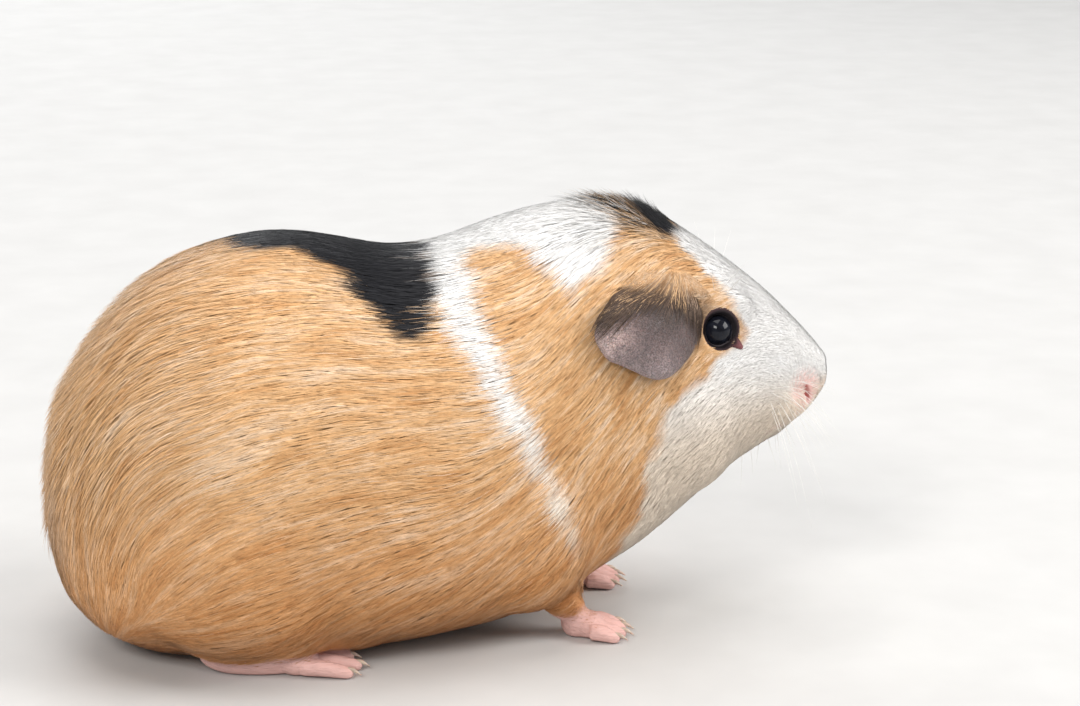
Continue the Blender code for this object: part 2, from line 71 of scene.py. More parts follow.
# Skin: grid for fusing the nodes, how far they are grown to close the cuts between
# them, smoothing passes in general and by the eye, and triangles kept
SKIN_GRID = 0.0006
SKIN_GROWTH = 0.00025
SKIN_PASSES = 3
CALM_PASSES = 24
SMOOTHING_LEVELS = 8
SKIN_TRIANGLES = 120000
FLESH_NODES = ["torso", "neck", "head"]
FLESH_NODES += [f"{name}_{word}" for name in ("thigh", "front_leg") for word, _ in SIDES]
FOOT_NODES = [f"{name}_{word}" for name in ("hind_foot", "front_foot") for word, _ in SIDES]

# Coat from rump to nose: place along the body, length of a tuft, depth of the coat,
# width of a tuft, and tufts to a square millimetre
COAT_ROWS = (
    (-0.1150, 0.0105, 0.0013, 0.00030, 2.60),
    (-0.0800, 0.0130, 0.0014, 0.00030, 2.45),
    (-0.0200, 0.0130, 0.0014, 0.00030, 2.45),
    (0.0250, 0.0110, 0.0013, 0.00028, 2.85),
    (0.0500, 0.0084, 0.0011, 0.00025, 3.60),
    (0.0700, 0.0060, 0.0009, 0.00022, 4.70),
    (0.0860, 0.0042, 0.0006, 0.00018, 5.60),
    (0.1000, 0.0028, 0.0004, 0.00015, 7.00),
    (0.1090, 0.0017, 0.0003, 0.00013, 8.50),
    (0.1160, 0.0010, 0.0002, 0.00012, 8.50),
)
# Distances from eyes and feet within which the coat is short, angles round the body and
# places along it between which the belly's thin coat begins and ends, and its density
SHORT_BY_EYE = (0.0062, 0.0125)
SHORT_BY_FEET = (0.0055, 0.0110)
BELLY_TURNS = (math.radians(125), math.radians(150))
BELLY_ENDS = (0.03, 0.05)
BELLY_DENSITY = 0.40

# Tufts of the coat: spread of length and width, how far they fan out of the lie, their
# thickness for their width, and how deep they root
TUFT_LENGTHS = (0.75, 1.20)
TUFT_WIDTHS = (0.75, 1.25)
TUFT_FAN = 0.06
TUFT_THICKNESS = 0.40
ROOT_DEPTH = 0.0002
# One leading tuft in so many, and how hard the others' tips are drawn to theirs
LEADER_EVERY = 14
LEADER_PULL = (0.10, 0.08)

# Guard hairs: how many, spread of length, fan, width with its spread, and thickness
GUARD_HAIRS = 7000
GUARD_LENGTHS = (1.2, 1.9)
GUARD_FAN = 0.08
GUARD_WIDTH = 0.00019
GUARD_WIDTHS = (0.7, 1.2)
GUARD_THICKNESS = 0.7

# Pieces of the coat: name, the record's slot, start and end along the body
COAT_ZONES = (
    ("coat_rump", "coat_orange", -1.0, -0.078),
    ("coat_flank", "coat_orange", -0.078, -0.040),
    ("coat_middle", "coat_orange", -0.040, -0.004),
    ("coat_shoulder", "coat_orange", -0.004, 0.030),
    ("coat_neck", "coat_orange", 0.030, 0.058),
    ("coat_head", "coat_white", 0.058, 0.082),
    ("coat_face", "coat_white", 0.082, 1.0),
)

# Lie of the coat on either side: place along the body, angle from the middle of the
# back, and how far the hair turns down from lying straight back, both in degrees
LIE_ROWS = (
    (-0.112, 20, 0), (-0.112, 100, 30), (-0.112, 170, 10),
    (-0.095, 0, 0), (-0.095, 50, 10), (-0.095, 80, 35), (-0.095, 105, 50), (-0.095, 140, 45),
    (-0.095, 178, 5), (-0.078, 0, 0), (-0.078, 30, 8), (-0.080, 60, 22), (-0.080, 88, 36),
    (-0.080, 108, 42), (-0.074, 124, 22), (-0.075, 150, 20), (-0.075, 178, 0), (-0.060, 0, 0),
    (-0.060, 45, 8), (-0.060, 75, 20), (-0.042, 0, 0), (-0.042, 45, 4), (-0.042, 88, 14),
    (-0.042, 108, 17), (-0.050, 130, 22), (-0.045, 160, 18), (-0.045, 178, 0), (-0.027, 76, 3),
    (-0.027, 97, 12), (-0.027, 115, 22), (-0.027, 130, 38), (-0.025, 158, 26), (-0.025, 178, 0),
    (-0.010, 0, 0), (-0.010, 45, 0), (-0.010, 75, 0), (-0.013, 98, 8), (-0.015, 118, 23),
    (-0.010, 140, 36), (-0.010, 178, 0), (0.002, 62, 3), (0.010, 85, 18), (0.017, 100, 33),
    (0.020, 125, 38), (0.010, 0, 0), (0.015, 35, 13), (0.023, 19, 20), (0.025, 60, 26),
    (0.025, 88, 37), (0.030, 110, 45), (0.030, 178, 10), (0.037, 30, 48), (0.041, 17, 45),
    (0.045, 38, 48), (0.038, 0, 5), (0.047, 78, 40), (0.040, 95, 45), (0.045, 120, 50),
    (0.045, 178, 15), (0.052, 32, 46), (0.060, 20, 50), (0.062, 0, 5), (0.060, 60, 50),
    (0.062, 90, 45), (0.060, 130, 50), (0.060, 178, 15), (0.070, 14, 40), (0.074, 0, 0),
    (0.070, 30, 50), (0.072, 60, 35), (0.072, 100, 42), (0.075, 140, 40), (0.085, 0, 0),
    (0.085, 25, 12), (0.085, 60, 25), (0.085, 100, 32), (0.085, 178, 5), (0.100, 0, 0),
    (0.100, 60, 12), (0.100, 120, 30), (0.100, 178, 0),
)
LIE_REACH = 0.011
LIE_RADIUS = 0.050
SWAY = 0.26
# Where the hair of the rump turns down, that of the nose's bridge up, and the whorl of
# hair round the whisker pad
RUMP_TURNS_DOWN = (-0.110, -0.068)
BRIDGE_RISES = (0.1020, 0.1140)
WHISKER_PAD = np.array((0.1045, 0.0110, 0.0700))
WHORL_REACH = 0.013

# Hair that stands a little off the coat: crest between the ears, and rump
CREST = ((0.046, 0.068), 13)
STAND_OFF = 0.0003
CREST_STAND_OFF = 0.0036
RUMP_STAND_OFF = 0.0028

# Colours of hair and skin, linear
ORANGE = np.array((0.79, 0.470, 0.225))
# Pale streak colour: partly paler hair, partly painted sheen
ORANGE_PALE = np.array((0.92, 0.69, 0.49))
ORANGE_DEEP = np.array((0.62, 0.30, 0.110))
WHITE = np.array((0.95, 0.935, 0.915))
CREAM = np.array((0.86, 0.71, 0.55))
BLACK = np.array((0.008, 0.008, 0.011))
AGOUTI = np.array((0.17, 0.11, 0.065))
TAN = np.array((0.50, 0.32, 0.17))
SMOKE = np.array((0.30, 0.185, 0.105))
PINK = np.array((0.84, 0.52, 0.47))
RED = np.array((0.42, 0.085, 0.075))
EYE_RIM = np.array((0.035, 0.018, 0.019))

# Orange varies by streaks and by a broad noise; low down it is darkened by painted shade
STREAK_CONTRAST = 1.7
BROAD_TONE = (0.030, 4.7)
LOW_SHADES = ((0.072, 0.012, (0.10, 0.27, 0.42)), (0.024, 0.006, (0.20, 0.26, 0.28)))
# White turns to cream on the throat, from one angle round the body to another, and lower
# down towards the chin
THROAT_TURNS = (math.radians(48), math.radians(118))
THROAT_FROM = 0.075
THROAT_SLOPE = 6.0
# Noises that make the patches' edges waver: size, offset and width
WAVERING = ((0.0075, 0.0, 0.0050), (0.0024, 9.3, 0.0022))

# Patches of the coat, laid over orange in this order: name, colour, softness of the edge,
# and outline as places along the body and angles from the middle of the back in degrees,
# negative on the right
PATCHES = (
    ("white_face", WHITE, 0.0030, (
        (0.0680, -8), (0.0712, -12.5), (0.0766, -17), (0.0849, -30), (0.0880, -40), (0.0866, -49),
        (0.0804, -60), (0.0755, -70), (0.0702, -75), (0.0658, -80), (0.0631, -98), (0.0590, -121),
        (0.0545, -145), (0.0480, -175), (0.0460, -215), (0.1400, -215), (0.1400, 215), (0.0460, 215),
        (0.0500, 165), (0.0560, 135), (0.0640, 105), (0.0700, 84), (0.0790, 66), (0.0850, 52),
        (0.0830, 34), (0.0765, 20), (0.0715, 8), (0.0700, 0),
    )),
    ("white_collar", WHITE, 0.0045, (
        (-0.0065, -1), (-0.0060, -28), (-0.0008, -38.5), (0.0038, -47.5), (0.0115, -64), (0.0209, -86),
        (0.0306, -106), (0.0385, -123), (0.0405, -119), (0.0346, -98), (0.0269, -81), (0.0179, -62),
        (0.0099, -44), (0.0068, -32), (0.0062, -17), (0.0084, -11.5), (0.0166, -14.5), (0.0238, -18),
        (0.0311, -26), (0.0392, -33.5), (0.0473, -26), (0.0499, -17.5), (0.0512, -12), (0.0490, -4),
        (0.0500, 10), (0.0470, 26), (0.0400, 44), (0.0340, 56), (0.0270, 48), (0.0150, 40),
        (0.0100, 52), (0.0130, 74), (0.0200, 96), (0.0120, 92), (0.0040, 70), (-0.0040, 48), (-0.0065, 20),
    )),
    ("black_saddle", BLACK, 0.0028, (
        (-0.0590, -2), (-0.0536, -9), (-0.0426, -11), (-0.0320, -16.5), (-0.0274, -25), (-0.0200, -34),
        (-0.0116, -40), (-0.0065, -38.5), (-0.0028, -28), (-0.0030, -1), (-0.0030, 20), (-0.0010, 48),
        (-0.0050, 70), (-0.0160, 82), (-0.0300, 72), (-0.0440, 52), (-0.0560, 30), (-0.0620, 10),
    )),
    ("black_crown", BLACK, 0.0030, (
        (0.0545, -5), (0.0580, -9), (0.0610, -11.5), (0.0645, -12.5), (0.0675, -11), (0.0697, -7),
        (0.0705, 4), (0.0760, 20), (0.0830, 34), (0.0850, 50),
        (0.0780, 62), (0.0660, 66), (0.0520, 58), (0.0490, 34), (0.0520, 12),
    )),
    ("agouti_crown", AGOUTI, 0.0050, (
        (0.0420, 0), (0.0460, -4), (0.0500, -8), (0.0530, -12), (0.0560, -14), (0.0595, -13.5),
        (0.0590, -8), (0.0560, -3), (0.0555, 6), (0.0510, 10), (0.0450, 8),
    )),
    ("ear_root", SMOKE, 0.0060, (
        (0.0560, -34), (0.0640, -29), (0.0700, -27), (0.0790, -31), (0.0800, -38), (0.0760, -46),
        (0.0640, -52), (0.0540, -46),
    )),
)

# Eyes, on the left half of the straight head
EYE_CENTRE = np.array((0.0812, 0.0170, 0.0912))
EYE_RADIUS = 0.0047
EYE_AXIS = Vector((0.18, 1.0, 0.16)).normalized()
LID_HALF_WIDTH = 0.0040
LID_HALF_HEIGHT = 0.0045
# Rings of the lids: how far out from the opening, and how high over the eyeball and the skin
LID_PROFILE = (
    (-0.0004, -0.00040, -0.01000),
    (-0.0001, 0.00008, 0.00010),
    (0.0003, 0.00032, 0.00042),
    (0.0007, 0.00036, 0.00050),
    (0.0011, 0.00020, 0.00046),
    (0.0015, -0.01000, 0.00030),
    (0.0020, -0.01000, -0.00025),
)
# Inner corner: its angle round the opening, reach and width. Then points round each
# ring, how far out the rays towards the skin start, and the middle of the bare skin.
LID_CORNER = math.radians(-37)
LID_CORNER_REACH = 0.0026
LID_CORNER_WIDTH = 0.18
LID_STEPS = 120
LID_START = 0.012
LID_MIDDLE = EYE_CENTRE + np.array(EYE_AXIS) * 0.0030 + (0.0007, 0, 0.0004)
LID_DARK = np.array((0.010, 0.007, 0.009))
LID_BROWN = np.array((0.060, 0.028, 0.030))
LID_PINK = np.array((0.22, 0.080, 0.085))
LID_WET = np.array((0.30, 0.26, 0.28))
# The brow, where the skin is smoothed as by the eye, and how far the skin stays under
# the eyeball's surface
BROW = np.array((0.0911, 0.0115, 0.0975))
EYE_CLEARANCE = 0.0008

# Nose and mouth, on the left half of the straight head
NOSTRIL = ((0.1089, 0.0063, 0.0677), (0.1089, 0.0076, 0.0695), (0.1084, 0.0086, 0.0715))
CLEFT = ((0.1146, 0.0000, 0.0720), (0.1123, 0.0000, 0.0668), (0.1083, 0.0000, 0.0626))
LIP_LINE = (
    (0.1083, 0.0000, 0.0626),
    (0.1061, 0.0045, 0.0611),
    (0.1015, 0.0077, 0.0599),
    (0.0981, 0.0109, 0.0594),
)

# Ears: as the solids have them, on the left half of the straight head
EAR_ROOT_FRONT = np.array((0.0772, 0.0165, 0.0992))
EAR_ROOT_BACK = np.array((0.0530, 0.0248, 0.1045))
EAR_ARCH_OUT = 0.0120
EAR_ARCH_UP = 0.0040
EAR_EDGE = (
    (0.0762, 0.0212, 0.0918),
    (0.0748, 0.0238, 0.0886),
    (0.0729, 0.0270, 0.0861),
    (0.0692, 0.0310, 0.0829),
    (0.0663, 0.0332, 0.0813),
    (0.0631, 0.0347, 0.0812),
    (0.0599, 0.0358, 0.0823),
    (0.0565, 0.0366, 0.0842),
    (0.0528, 0.0372, 0.0861),
    (0.0495, 0.0375, 0.0877),
    (0.0470, 0.0375, 0.0906),
    (0.0453, 0.0370, 0.0942),
    (0.0464, 0.0350, 0.0978),
    (0.0488, 0.0318, 0.1008),
)
# Tones laid over the ear's own: colour, share along its root, share out from there, and
# how far the tone reaches each way
EAR_TONE = (0.165, 0.118, 0.116)
EAR_PATCHES = (
    ((0.500, 0.365, 0.340), 0.74, 0.84, (0.15, 0.23)),
    ((0.330, 0.262, 0.262), 0.45, 1.00, (0.26, 0.16)),
    ((0.235, 0.167, 0.165), 0.68, 0.50, (0.10, 0.15)),
    ((0.130, 0.085, 0.076), 0.15, 0.88, (0.12, 0.26)),
    ((0.078, 0.054, 0.049), 0.40, 0.50, (0.19, 0.20)),
    ((0.066, 0.044, 0.038), 0.08, 0.25, (0.15, 0.35)),
    ((0.036, 0.024, 0.020), 0.38, 0.27, (0.34, 0.27)),
    ((0.060, 0.040, 0.034), 1.00, 0.60, (0.07, 0.35)),
)
# Steps of an ear's mesh, its thickness, and the shares over which its edge and the ends of
# its root round off
EAR_STEPS_ALONG = 110
EAR_STEPS_OUT = 44
EAR_EDGE_THICKNESS = 0.0006
EAR_ROOT_THICKNESS = 0.0020
EAR_RIM = 0.03
EAR_RIM_ENDS = 0.012

# Hair that fans out over each ear from a whorl above it: share along the ear's root where
# a hair crosses it, share where it ends, and how far down the ear it reaches
EAR_WHORL = np.array((0.0690, 0.0170, 0.1110))
MANE_ROWS = (
    (0.00, 0.02, 0.95),
    (0.12, 0.07, 0.80),
    (0.24, 0.22, 0.50),
    (0.34, 0.35, 0.42),
    (0.48, 0.60, 0.44),
    (0.66, 0.84, 0.80),
    (0.84, 0.93, 1.00),
    (1.00, 0.97, 1.00),
)
MANE_HAIRS = 2700
MANE_STATIONS = np.array((0.0, 0.18, 0.36, 0.60, 0.82, 1.0))
MANE_WIDTHS = (0.9, 1.0, 1.0, 0.7)
MANE_CREST = 2
MANE_FRONT = np.array((0.40, 0.28, 0.20))
MANE_BACK = np.array((0.62, 0.40, 0.22))
MANE_DARK = np.array((0.060, 0.038, 0.027))
# Share of pale hairs across the right ear's root. The left ear's is so many times less.
MANE_PALE_PLACES = (0, 0.2, 0.34, 0.6, 1)
MANE_PALE_SHARES = (0.42, 0.36, 0.50, 0.28, 0.12)
MANE_PALE_LEFT = 2.5
MANE_HAIR_WIDTH = 0.00017

# Hair along each ear's back edge, and down over its skin
EDGE_HAIRS = 420
EDGE_HAIR_WIDTH = 0.00022
DOWN_HAIRS = 5200
DOWN_HAIR_WIDTH = 0.00008
DOWN_TONE = np.array((0.24, 0.20, 0.20))
EAR_HAIR_THICKNESS = 0.6

# Feet: ankle or wrist on the floor, heading away from straight ahead, size of the sole,
# and each toe's place across the foot with its reach
HIND_FOOT = {
    "place": (-0.0680, 0.0335, 0.0),
    "heading": math.radians(9),
    "length": 0.0270,
    "half_width": 0.0062,
    "height": 0.0090,
    "toes": ((-0.0046, 0.0120), (0.0000, 0.0145), (0.0044, 0.0125)),
}
FORE_FOOT = {
    "place": (0.0370, 0.0215, 0.0),
    "heading": math.radians(4),
    "length": 0.0090,
    "half_width": 0.0052,
    "height": 0.0080,
    "toes": ((-0.0054, 0.0068), (-0.0019, 0.0086), (0.0018, 0.0088), (0.0052, 0.0072)),
}
# Toes and claws: radii and heights at their stations, a toe's middle station, and how far
# the toes spread
TOE_RADII = (0.00242, 0.0023, 0.0018)
TOE_HEIGHTS = (0.00288, 0.00265, 0.00173)
TOE_MIDDLE = 0.55
TOE_SPREAD = 28
CLAW_RADII = (0.00085, 0.00064, 0.00012)
CLAW_START_BACK = 0.00115
CLAW_REACH = (0.0, 0.0029, 0.0053)
CLAW_HEIGHTS = (0.0007, 0.0009, -0.0005)

# Whiskers on the left of the straight head: rows and columns, then place and way out of
# the first one, each with its step from column to column and from row to row
NO_STEP = (0, 0, 0)
LIP_WHISKERS = (
    4, 6,
    ((0.1075, 0.0090, 0.0735), (-0.0022, 0.0009, 0), (0, 0, -0.0024)),
    ((0.75, 0.62, 0.10), (-0.11, 0, 0), (0, 0, -0.24)),
)
BROW_WHISKERS = (
    1, 3,
    ((0.0840, 0.0140, 0.1000), (-0.002, 0, 0), NO_STEP),
    ((0.35, 0.55, 0.75), (-0.25, 0, 0), NO_STEP),
)
CHIN_WHISKERS = (
    1, 6,
    ((0.1040, 0.0035, 0.0570), (-0.0035, 0.0008, 0), NO_STEP),
    ((0.25, 0.30, -0.90), (-0.05, 0, 0), NO_STEP),
)
WHISKER_RADIUS = 0.00007

# Stations of a tuft from root to tip, its width at those between, its sides, and the size
# of its patch on the map
SHORT_STATIONS = np.array((0.0, 0.55, 1.0))
SHORT_WIDTHS = (1.0,)
LONG_STATIONS = np.array((0.0, 0.30, 0.68, 1.0))
LONG_WIDTHS = (1.0, 0.8)
TUFT_SIDES = 3
BAKE_PATCH = 0.003

# Lamps: name, place, width, watts and colour. They aim at the animal's middle.
LAMPS = (
    ("key", (-1.15, -1.60, 1.55), 0.80, 30.0, (1.0, 0.98, 0.95)),
    ("top", (-0.10, 0.10, 2.20), 1.60, 30.0, (1.0, 0.99, 0.98)),
    ("side", (1.90, -0.55, 1.20), 1.20, 38.0, (1.0, 0.98, 0.96)),
    ("back", (-0.30, 1.90, 1.10), 1.20, 18.0, (0.98, 0.99, 1.0)),
)
LAMP_AIM = Vector((0, 0, 0.05))

FLOOR_CLEARANCE = 0.00015
SEED = 20

random = np.random.default_rng(SEED)
NOISE_CELLS = 32
NOISE = random.random((NOISE_CELLS, NOISE_CELLS, NOISE_CELLS))


def smooth_noise(points, size, offset=0.0):
    """Random values from 0 to 1 that change smoothly over the given size."""
    cells = points / size + offset
    low = np.floor(cells).astype(int)
    t = cells - low
    t = t * t * (3 - 2 * t)
    value = np.zeros(len(points))
    for corner in product((0, 1), repeat=3):
        share = np.prod(np.where(np.array(corner) == 1, t, 1 - t), axis=1)
        i, j, k = ((low + corner) % NOISE_CELLS).T
        value += share * NOISE[i, j, k]
    return value


def unit(vectors):
    return vectors / np.maximum(np.linalg.norm(vectors, axis=-1, keepdims=True), 1e-12)


def ramp(values, start, end):
    """0 before start, 1 after end, smooth between them."""
    t = np.clip((values - start) / (end - start), 0, 1)
    return t * t * (3 - 2 * t)


def turn_angles(along):
    return HEAD_TURN * ramp(along, TURN_FROM, TURN_TO)


def rotated(vectors, angles):
    """Vectors turned about the vertical."""
    cos, sin = np.cos(angles), np.sin(angles)
    x, y, z = vectors.T
    return np.column_stack([cos * x - sin * y, sin * x + cos * y, z])


def posed(points):
    """Points of the straight body in the model's pose and place."""
    points = np.asarray(points, float).reshape(-1, 3)
    return rotated(points - TURN_PIVOT, turn_angles(points[:, 0])) + TURN_PIVOT + SHIFT


def on_side(points, side):
    """Points given on the left of the straight body, in the model's pose on one side."""
    return posed(np.asarray(points, float) * (1, side, 1))


def above_floor(points):
    """Points lifted to the floor's clearance where they are lower."""
    points = points.copy()
    points[:, 2] = np.maximum(points[:, 2], FLOOR_CLEARANCE)
    return points


def straight(points):
    """Where points of the posed body are on the straight one."""
    moved = points - SHIFT
    found = moved.copy()
    for _ in range(10):
        found = rotated(moved - TURN_PIVOT, -turn_angles(found[:, 0])) + TURN_PIVOT
    return found


def find_shift():
    """How far the model was moved to stand over the origin, found from its eyes."""
    boxes = [np.array(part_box(f"eye_{word}")) for word, _ in SIDES]
    middle = np.mean([box.mean(axis=0) for box in boxes], axis=0)
    expected = rotated((EYE_CENTRE * (1, 0, 1) - TURN_PIVOT)[None], HEAD_TURN)[0] + TURN_PIVOT
    return middle - expected


def on_body(points):
    """Place along the straight body, angle from the middle of the back, distance from the axis."""
    flat = straight(points)
    up = flat[:, 2] - np.interp(flat[:, 0], AXIS_PLACES, AXIS_HEIGHTS)
    return flat[:, 0], np.arctan2(flat[:, 1], up), np.hypot(flat[:, 1], up)


def inside_by(outline, along, turn, reach):
    """How far points lie inside an outline on the body, below 0 outside it."""
    corners = np.array(outline)
    across = np.radians(corners[:, 1])
    nearest = np.full(len(along), np.inf)
    inside = np.zeros(len(along), bool)
    for here in range(len(corners)):
        there = (here + 1) % len(corners)
        ax, ay = corners[here, 0] - along, (across[here] - turn) * reach
        bx, by = corners[there, 0] - along, (across[there] - turn) * reach
        dx, dy = bx - ax, by - ay
        t = np.clip(-(ax * dx + ay * dy) / (dx * dx + dy * dy + 1e-12), 0, 1)
        nearest = np.minimum(nearest, np.hypot(ax + t * dx, ay + t * dy))
        crosses = (ay > 0) != (by > 0)
        at = ax - ay * dx / np.where(crosses, dy, 1.0)
        inside ^= crosses & (at > 0)
    return np.where(inside, nearest, -nearest)


def coat_colour(points, streak, tick=None):
    """Colour of the hair at points: streak from 0 to 1 makes it deeper or paler, and tick,
    from 0 to 1, picks dark or pale hair where the coat is ticked."""
    along, turn, reach = on_body(points)
    wobble = sum((smooth_noise(points, size, offset) - 0.5) * wide for size, offset, wide in WAVERING)
    deep = (smooth_noise(points, *BROAD_TONE) - 0.5) * 0.5 + (streak - 0.5) * STREAK_CONTRAST
    # The paler streaks are partly the hair's own tone and partly painted sheen
    colour = ORANGE + np.clip(deep, 0, 1)[:, None] * (ORANGE_PALE - ORANGE)
    colour = colour + np.clip(-deep, 0, 1)[:, None] * (ORANGE_DEEP - ORANGE)
    # Painted shade: the orange darkens low down on the body, most towards the belly's edge
    for top, bottom, loss in LOW_SHADES:
        colour = colour * (1 - ramp(-points[:, 2], -top, -bottom)[:, None] * loss)
    throat = ramp(np.abs(turn) - THROAT_SLOPE * np.maximum(along - THROAT_FROM, 0), *THROAT_TURNS)[:, None]
    for name, tone, feather, outline in PATCHES:
        share = np.clip(0.5 + (inside_by(outline, along, turn, reach) + wobble) / feather, 0, 1)
        if name in ("white_face", "white_collar"):
            tone = tone + throat * 0.85 * (CREAM - tone)
        if name == "agouti_crown" and tick is not None:
            tone = np.where(tick[:, None] < 0.5, BLACK, np.where(tick[:, None] < 0.85, TAN, WHITE * 0.8))
        if name == "ear_root" and tick is not None:
            tone = np.where(tick[:, None] < 0.4, AGOUTI, SMOKE * 1.2)
        tone = tone * (1 + 0.16 * (streak[:, None] - 0.5))
        colour = colour + share[:, None] * (tone - colour)
    return colour


def feature(points, centre, near, far):
    """1 within a distance of a place on either side of the straight head, 0 beyond another."""
    flat = straight(points)
    centre = np.asarray(centre)
    gaps = [np.linalg.norm(flat - centre * (1, side, 1), axis=1) for _, side in SIDES]
    return 1 - ramp(np.minimum(*gaps), near, far)


def line_gap(points, start, end):
    """Distance of points from the line between two places."""
    axis = end - start
    t = np.clip((points - start) @ axis / (axis @ axis), 0, 1)
    return np.linalg.norm(points - start - t[:, None] * axis, axis=1)


def by_line(points, path, near, far):
    """1 within a distance of a line on either side of the straight head, 0 beyond another."""
    flat = straight(points)
    gap = np.full(len(flat), np.inf)
    for _, side in SIDES:
        corners = np.array(path) * (1, side, 1)
        for start, end in zip(corners[:-1], corners[1:]):
            gap = np.minimum(gap, line_gap(flat, start, end))
    return 1 - ramp(gap, near, far)


def foot_cover(points, near, far):
    """1 on the feet, 0 away from them."""
    gap = np.full(len(points), np.inf)
    for form in (HIND_FOOT, FORE_FOOT):
        lines = [((0.0, 0.0, 0.004), (form["length"], 0.0, 0.002))]
        for across, reach in form["toes"]:
            path = toe_path(form, across, reach)[1]
            lines.append((path[0], path[-1]))
        for (_, side), line in product(SIDES, lines):
            gap = np.minimum(gap, line_gap(points, *foot_points(form, side, line)))
    return 1 - ramp(gap, near, far)


def coat_values(points):
    """Hair length, coat depth, tuft width and density at points of the skin."""
    along, turn, _ = on_body(points)
    rows = np.array(COAT_ROWS)
    length, depth, width, density = (np.interp(along, rows[:, 0], rows[:, n]) for n in range(1, 5))
    by_eye = feature(points, EYE_CENTRE, *SHORT_BY_EYE)
    feet = foot_cover(points, *SHORT_BY_FEET)
    short = np.maximum(by_eye * 0.72, feet * 0.85)
    belly = ramp(np.abs(turn), *BELLY_TURNS) * (1 - ramp(along, *BELLY_ENDS))
    length = length * (1 - short) * (1 - 0.35 * belly)
    depth = depth * (1 - np.maximum(by_eye * 0.9, feet)) * (1 - 0.3 * belly)
    width = width * (1 - 0.45 * np.maximum(by_eye, feet))
    density = density * (1 + 1.2 * by_eye) * (1 - (1 - BELLY_DENSITY) * belly)
    return length, depth, width, density


def bare_share(points):
    """1 where the skin has no hair: nostrils, lids and toes."""
    nose = np.maximum(by_line(points, NOSTRIL, 0.0010, 0.0022), by_line(points, CLEFT, 0.0004, 0.0012))
    nose = np.maximum(nose, by_line(points, NOSTRIL, 0.0022, 0.0070) * 0.5)
    lids = feature(points, LID_MIDDLE, 0.0053, 0.0060)
    feet = foot_cover(points, 0.0050, 0.0075) * (1 - ramp(points[:, 2], 0.004, 0.009))
    return np.maximum(np.maximum(nose, lids), feet)


def stand_off(points):
    """How far the tips of loose hair may stand off the coat."""
    along, turn, _ = on_body(points)
    (start, end), around = CREST
    crest = ramp(along, start - 0.004, start + 0.004) * (1 - ramp(along, end - 0.004, end + 0.004))
    crest = crest * (1 - ramp(np.abs(turn), math.radians(around - 4), math.radians(around + 6)))
    rump = (1 - ramp(along, -0.090, -0.045)) * (1 - ramp(np.abs(turn), math.radians(40), math.radians(95)))
    return STAND_OFF + CREST_STAND_OFF * crest + RUMP_STAND_OFF * rump


def lie_angles(along, turn):
    """How far the hair turns down from lying straight back."""
    total, weight = np.zeros(len(along)), np.full(len(along), 1e-9)
    for place, around, down in LIE_ROWS:
        gap = (along - place) ** 2 + ((np.abs(turn) - math.radians(around)) * LIE_RADIUS) ** 2
        share = np.exp(-gap / (2 * LIE_REACH**2))
        total += share * math.radians(down)
        weight += share
    return total / weight


def lie_ways(points, normals):
    """The way the hair lies at points of the skin, along the surface."""
    flat = straight(points)
    along, turn, _ = on_body(points)
    falls = 1 - ramp(along, *RUMP_TURNS_DOWN)
    count = len(points)
    rises = 0.6 * ramp(along, *BRIDGE_RISES)
    behind = 0.90 - 0.35 * normals[:, 1] ** 2
    back = np.column_stack([-1 + behind * falls, np.zeros(count), rises - falls])
    down = np.column_stack([np.zeros(count), np.cos(turn), -np.sin(turn)])
    down *= np.where(turn >= 0, 1, -1)[:, None]
    angles = turn_angles(flat[:, 0])
    back, down = rotated(back, angles), rotated(down, angles)
    back = unit(back - normals * (back * normals).sum(1)[:, None])
    down = down - back * (down * back).sum(1)[:, None]
    down = unit(down - normals * (down * normals).sum(1)[:, None])
    tilt = (lie_angles(along, turn) * (1 - falls) * ramp(np.abs(turn), 0, math.radians(24)))[:, None]
    sway = (smooth_noise(points, 0.012, 2.2) - 0.5)[:, None] * SWAY
    ways = back * np.cos(tilt + sway) + down * np.sin(tilt + sway)
    pad = WHISKER_PAD * np.column_stack([np.ones(count), np.where(turn >= 0, 1, -1), np.ones(count)])
    whorl = rotated(flat - pad, angles)
    near = np.exp(-((np.linalg.norm(whorl, axis=1) / WHORL_REACH) ** 2))[:, None]
    whorl = whorl - normals * (whorl * normals).sum(1)[:, None]
    return unit(ways * (1 - near) + unit(whorl) * near)


def add_object(name, data):
    obj = bpy.data.objects.new(name, data)
    bpy.context.scene.collection.objects.link(obj)
    return obj


def applied(obj):
    """Replaces the object's mesh with what its modifiers make of it."""
    bpy.context.view_layer.update()
    graph = bpy.context.evaluated_depsgraph_get()
    mesh = bpy.data.meshes.new_from_object(obj.evaluated_get(graph))
    obj.modifiers.clear()
    obj.data = mesh
    return obj


def vectors_of(items, name):
    found = np.empty(len(items) * 3)
    items.foreach_get(name, found)
    return found.reshape(-1, 3)


def coordinates(mesh):
    return vectors_of(mesh.vertices, "co")


def normals_of(mesh):
    return vectors_of(mesh.vertex_normals, "vector")


def move_to(mesh, points):
    mesh.vertices.foreach_set("co", points.ravel())
    mesh.update()


def paint(mesh, colours):
    """Stores a colour at each point."""
    layer = mesh.color_attributes.new("coat", "FLOAT_COLOR", "POINT")
    rgba = np.column_stack([np.clip(colours, 0, 1), np.ones(len(colours))])
    layer.data.foreach_set("color", rgba.astype(np.float32).ravel())


def array_mesh(name, points, triangles):
    """A smooth-shaded mesh of triangles straight from arrays."""
    mesh = bpy.data.meshes.new(name)
    mesh.vertices.add(len(points))
    mesh.vertices.foreach_set("co", np.asarray(points, np.float32).ravel())
    mesh.loops.add(triangles.size)
    mesh.loops.foreach_set("vertex_index", triangles.astype(np.int32).ravel())
    mesh.polygons.add(len(triangles))
    mesh.polygons.foreach_set("loop_start", np.arange(0, triangles.size, 3, dtype=np.int32))
    mesh.polygons.foreach_set("use_smooth", np.full(len(triangles), True))
    mesh.update(calc_edges=True)
    mesh.validate()
    return mesh


